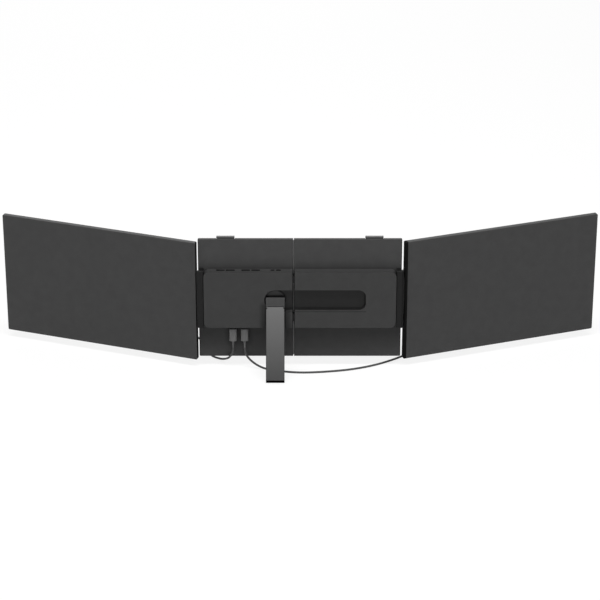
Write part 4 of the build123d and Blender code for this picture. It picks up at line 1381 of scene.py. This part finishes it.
@dataclass
class Hooks:
    """Spring-loaded claws over the lid, with soft liners inside."""

    claw_y: float = -1.9
    claw_z: float = 96.8
    inner_radius: float = 4.1
    middle_x: float = 112.7
    liner_width: float = 23.0
    liner_thickness: float = 0.7
    liner_root: float = 0.4
    liner_sink: float = 0.02

    def liner(self, side: str, sign: int) -> None:
        """Line the inside of one claw.

        Args:
            side: left or right.
            sign: 1 for left and -1 for right.
        """
        x, root = sign * self.middle_x, self.liner_root
        reach = self.inner_radius - self.liner_thickness / 2 + self.liner_sink
        bench = Bench(f"{side}_hook_liner").cube(
            (self.liner_width, self.liner_thickness, root),
            (x, self.claw_y + reach, self.claw_z - root / 2),
        )
        bench.faces(facing("z", 1))
        bench.spin(16, -180, (x, self.claw_y, self.claw_z), (1, 0, 0))
        keep(bench.done(0.12, 2, 40), Finish.RUBBER, f"{side}_hook")

    def build(self) -> None:
        """Dress the hooks and line the claws."""
        dress({
            Finish.HOOK: ("left_hook_claw", "right_hook_claw"),
            Finish.STEEL: ("left_hook_arm", "right_hook_arm"),
            Finish.SPRING: ("left_hook_spring", "right_hook_spring"),
        })
        self.liner("left", 1)
        self.liner("right", -1)


@dataclass
class Stand:
    """Folding kickstand with its rubber foot."""

    fold: Point = (37.6, 16.2, -10.1)
    tilt: float = 25.5
    leg_width: float = 28.4
    thickness: float = 3.0
    length: float = 115.1
    foot_length: float = 3.6
    sole_height: float = 0.5

    def foot(self) -> None:
        """Rubber shoe with a stepped sole under it."""
        high = self.foot_length - self.sole_height
        size = (self.leg_width, self.thickness, high)
        middle_z = -self.length + (self.foot_length + self.sole_height) / 2
        bench = Bench("stand_rubber_foot").cube(size, (0, 0, middle_z)).faces(facing("z", -1))
        bench.inset(0.45).extrude((0, 0, -0.25)).inset(0.5).extrude((0, 0, -0.15))
        piece = bench.done(0.22, 3)
        lean = Matrix.Rotation(math.radians(self.tilt), 4, "X")
        piece.data.transform(Matrix.Translation(Vector(self.fold) * MM) @ lean)
        keep(piece, Finish.FOOT, "stand_leg")
        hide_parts("stand_foot")

    def build(self) -> None:
        """Dress the stand and fit its foot."""
        dress({
            Finish.STAND_HEAD: ("stand_disc",),
            Finish.RUBBER: ("stand_retainer",),
            Finish.RAIL: ("stand_fold_pin",),
            Finish.LEG: ("stand_leg",),
        })
        self.foot()


@dataclass
class Screens:
    """The two side screens and their hinges."""

    def build(self) -> None:
        """Dress both screens."""
        sides = ("left", "right")
        dress({
            Finish.SCREEN_BACK: [f"{side}_back_cover" for side in sides],
            Finish.BEZEL: [f"{side}_bezel" for side in sides],
            Finish.DISPLAY: [f"{side}_lcd_panel" for side in sides],
            Finish.BACKLIGHT: [f"{side}_backlight" for side in sides],
            Finish.CIRCUIT: [f"{side}_driver_board" for side in sides],
            Finish.STEEL: [f"{side}_hinge_{part}" for side in sides
                           for part in ("bracket", "pins", "washers", "leaf")],
            # The strip's near-black colour is painted shade.
            Finish.EDGE_SHADE: ("right_screen_edge_strip",),
        })


# ---------------------------------------------------------------------------- studio
@dataclass
class Studio:
    """Camera, lamps, pale floor and white surroundings."""

    aim: Point = (-0.1, 0.0, -5.41)
    elevation: float = 25.7
    distance: float = 3948.6
    lens: float = 155.0
    sensor: float = 36.0
    farthest: float = 50.0
    floor_z: float = -114.8
    floor_size: float = 14000.0
    floor_colour: tuple[float, ...] = (0.9, 0.9, 0.9, 1.0)
    floor_glow: float = 0.82
    world_strength: float = 0.3

    def camera(self) -> None:
        """Put the camera behind and above the object."""
        data = bpy.data.cameras.new("camera")
        data.lens = self.lens
        data.sensor_width = self.sensor
        data.clip_end = self.farthest
        camera = bpy.data.objects.new("camera", data)
        bpy.context.scene.collection.objects.link(camera)
        tilt = math.radians(self.elevation)
        way = Vector((0, math.cos(tilt), math.sin(tilt)))
        camera.location = (Vector(self.aim) + way * self.distance) * MM
        camera.rotation_euler = (math.pi / 2 - tilt, 0, math.pi)
        bpy.context.scene.camera = camera

    def lamp(self, name: str, place: Point, size: tuple[float, float], power: float) -> None:
        """Add a soft lamp aimed at the object.

        Args:
            name: Name of the lamp.
            place: Its place, in metres.
            size: Width and depth of its panel, in metres.
            power: Its power in watts.
        """
        data = bpy.data.lights.new(name, "AREA")
        data.shape = "RECTANGLE"
        data.size, data.size_y, data.energy = *size, power
        lamp = bpy.data.objects.new(name, data)
        bpy.context.scene.collection.objects.link(lamp)
        lamp.location = place
        lamp.rotation_euler = (-Vector(place)).to_track_quat("-Z", "Y").to_euler()

    def world(self) -> None:
        """White surroundings for the camera and reflections, softer for the light they give."""
        world = bpy.data.worlds.new("surroundings")
        bpy.context.scene.world = world
        tree = Tree(world)
        rays = tree.node("ShaderNodeLightPath").outputs
        mirrored = tree.maths(
            "ADD", rays["Is Glossy Ray"], rays["Is Transmission Ray"], clamped=True
        )
        shown = tree.maths("ADD", rays["Is Camera Ray"], mirrored, clamped=True)
        kind = "ShaderNodeBackground"
        soft, white = tree.white(kind, self.world_strength), tree.white(kind)
        tree.show(shown, soft, white, "ShaderNodeOutputWorld")

    def floor(self) -> None:
        """Pale floor that keeps a faint shadow of the object."""
        piece = Bench("floor").plane(self.floor_size, (0, 0, self.floor_z)).piece
        material = bpy.data.materials.new("floor_white")
        tree = Tree(material)
        diffuse = tree.node("ShaderNodeBsdfDiffuse")
        diffuse.inputs["Color"].default_value = self.floor_colour
        rays = tree.node("ShaderNodeLightPath").outputs
        share = tree.maths("MULTIPLY", rays["Is Camera Ray"], self.floor_glow)
        glow = tree.white("ShaderNodeEmission")
        tree.show(share, diffuse.outputs[0], glow, "ShaderNodeOutputMaterial")
        piece.data.materials.append(material)

    def build(self) -> None:
        """Set up the whole studio."""
        self.camera()
        self.world()
        self.floor()
        self.lamp("overhead", (0.0, 0.6, 2.2), (2.6, 0.4), 60)
        self.lamp("rear", (0.0, 3.0, 1.0), (3.0, 1.5), 12)
        self.lamp("front", (0.4, -2.6, 1.6), (2.0, 2.0), 30)
        bpy.context.scene.view_settings.view_transform = "Standard"


def main() -> None:
    """Build the studio and every sub-assembly in order."""
    logging.basicConfig(level=logging.INFO, format="%(message)s")
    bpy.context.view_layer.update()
    for part in (Studio(), Leads(), Bracket(), Hub(), Hooks(), Stand(), Screens()):
        part.build()
        log.info("%s done", type(part).__name__)


if __name__ == "__main__":
    main()
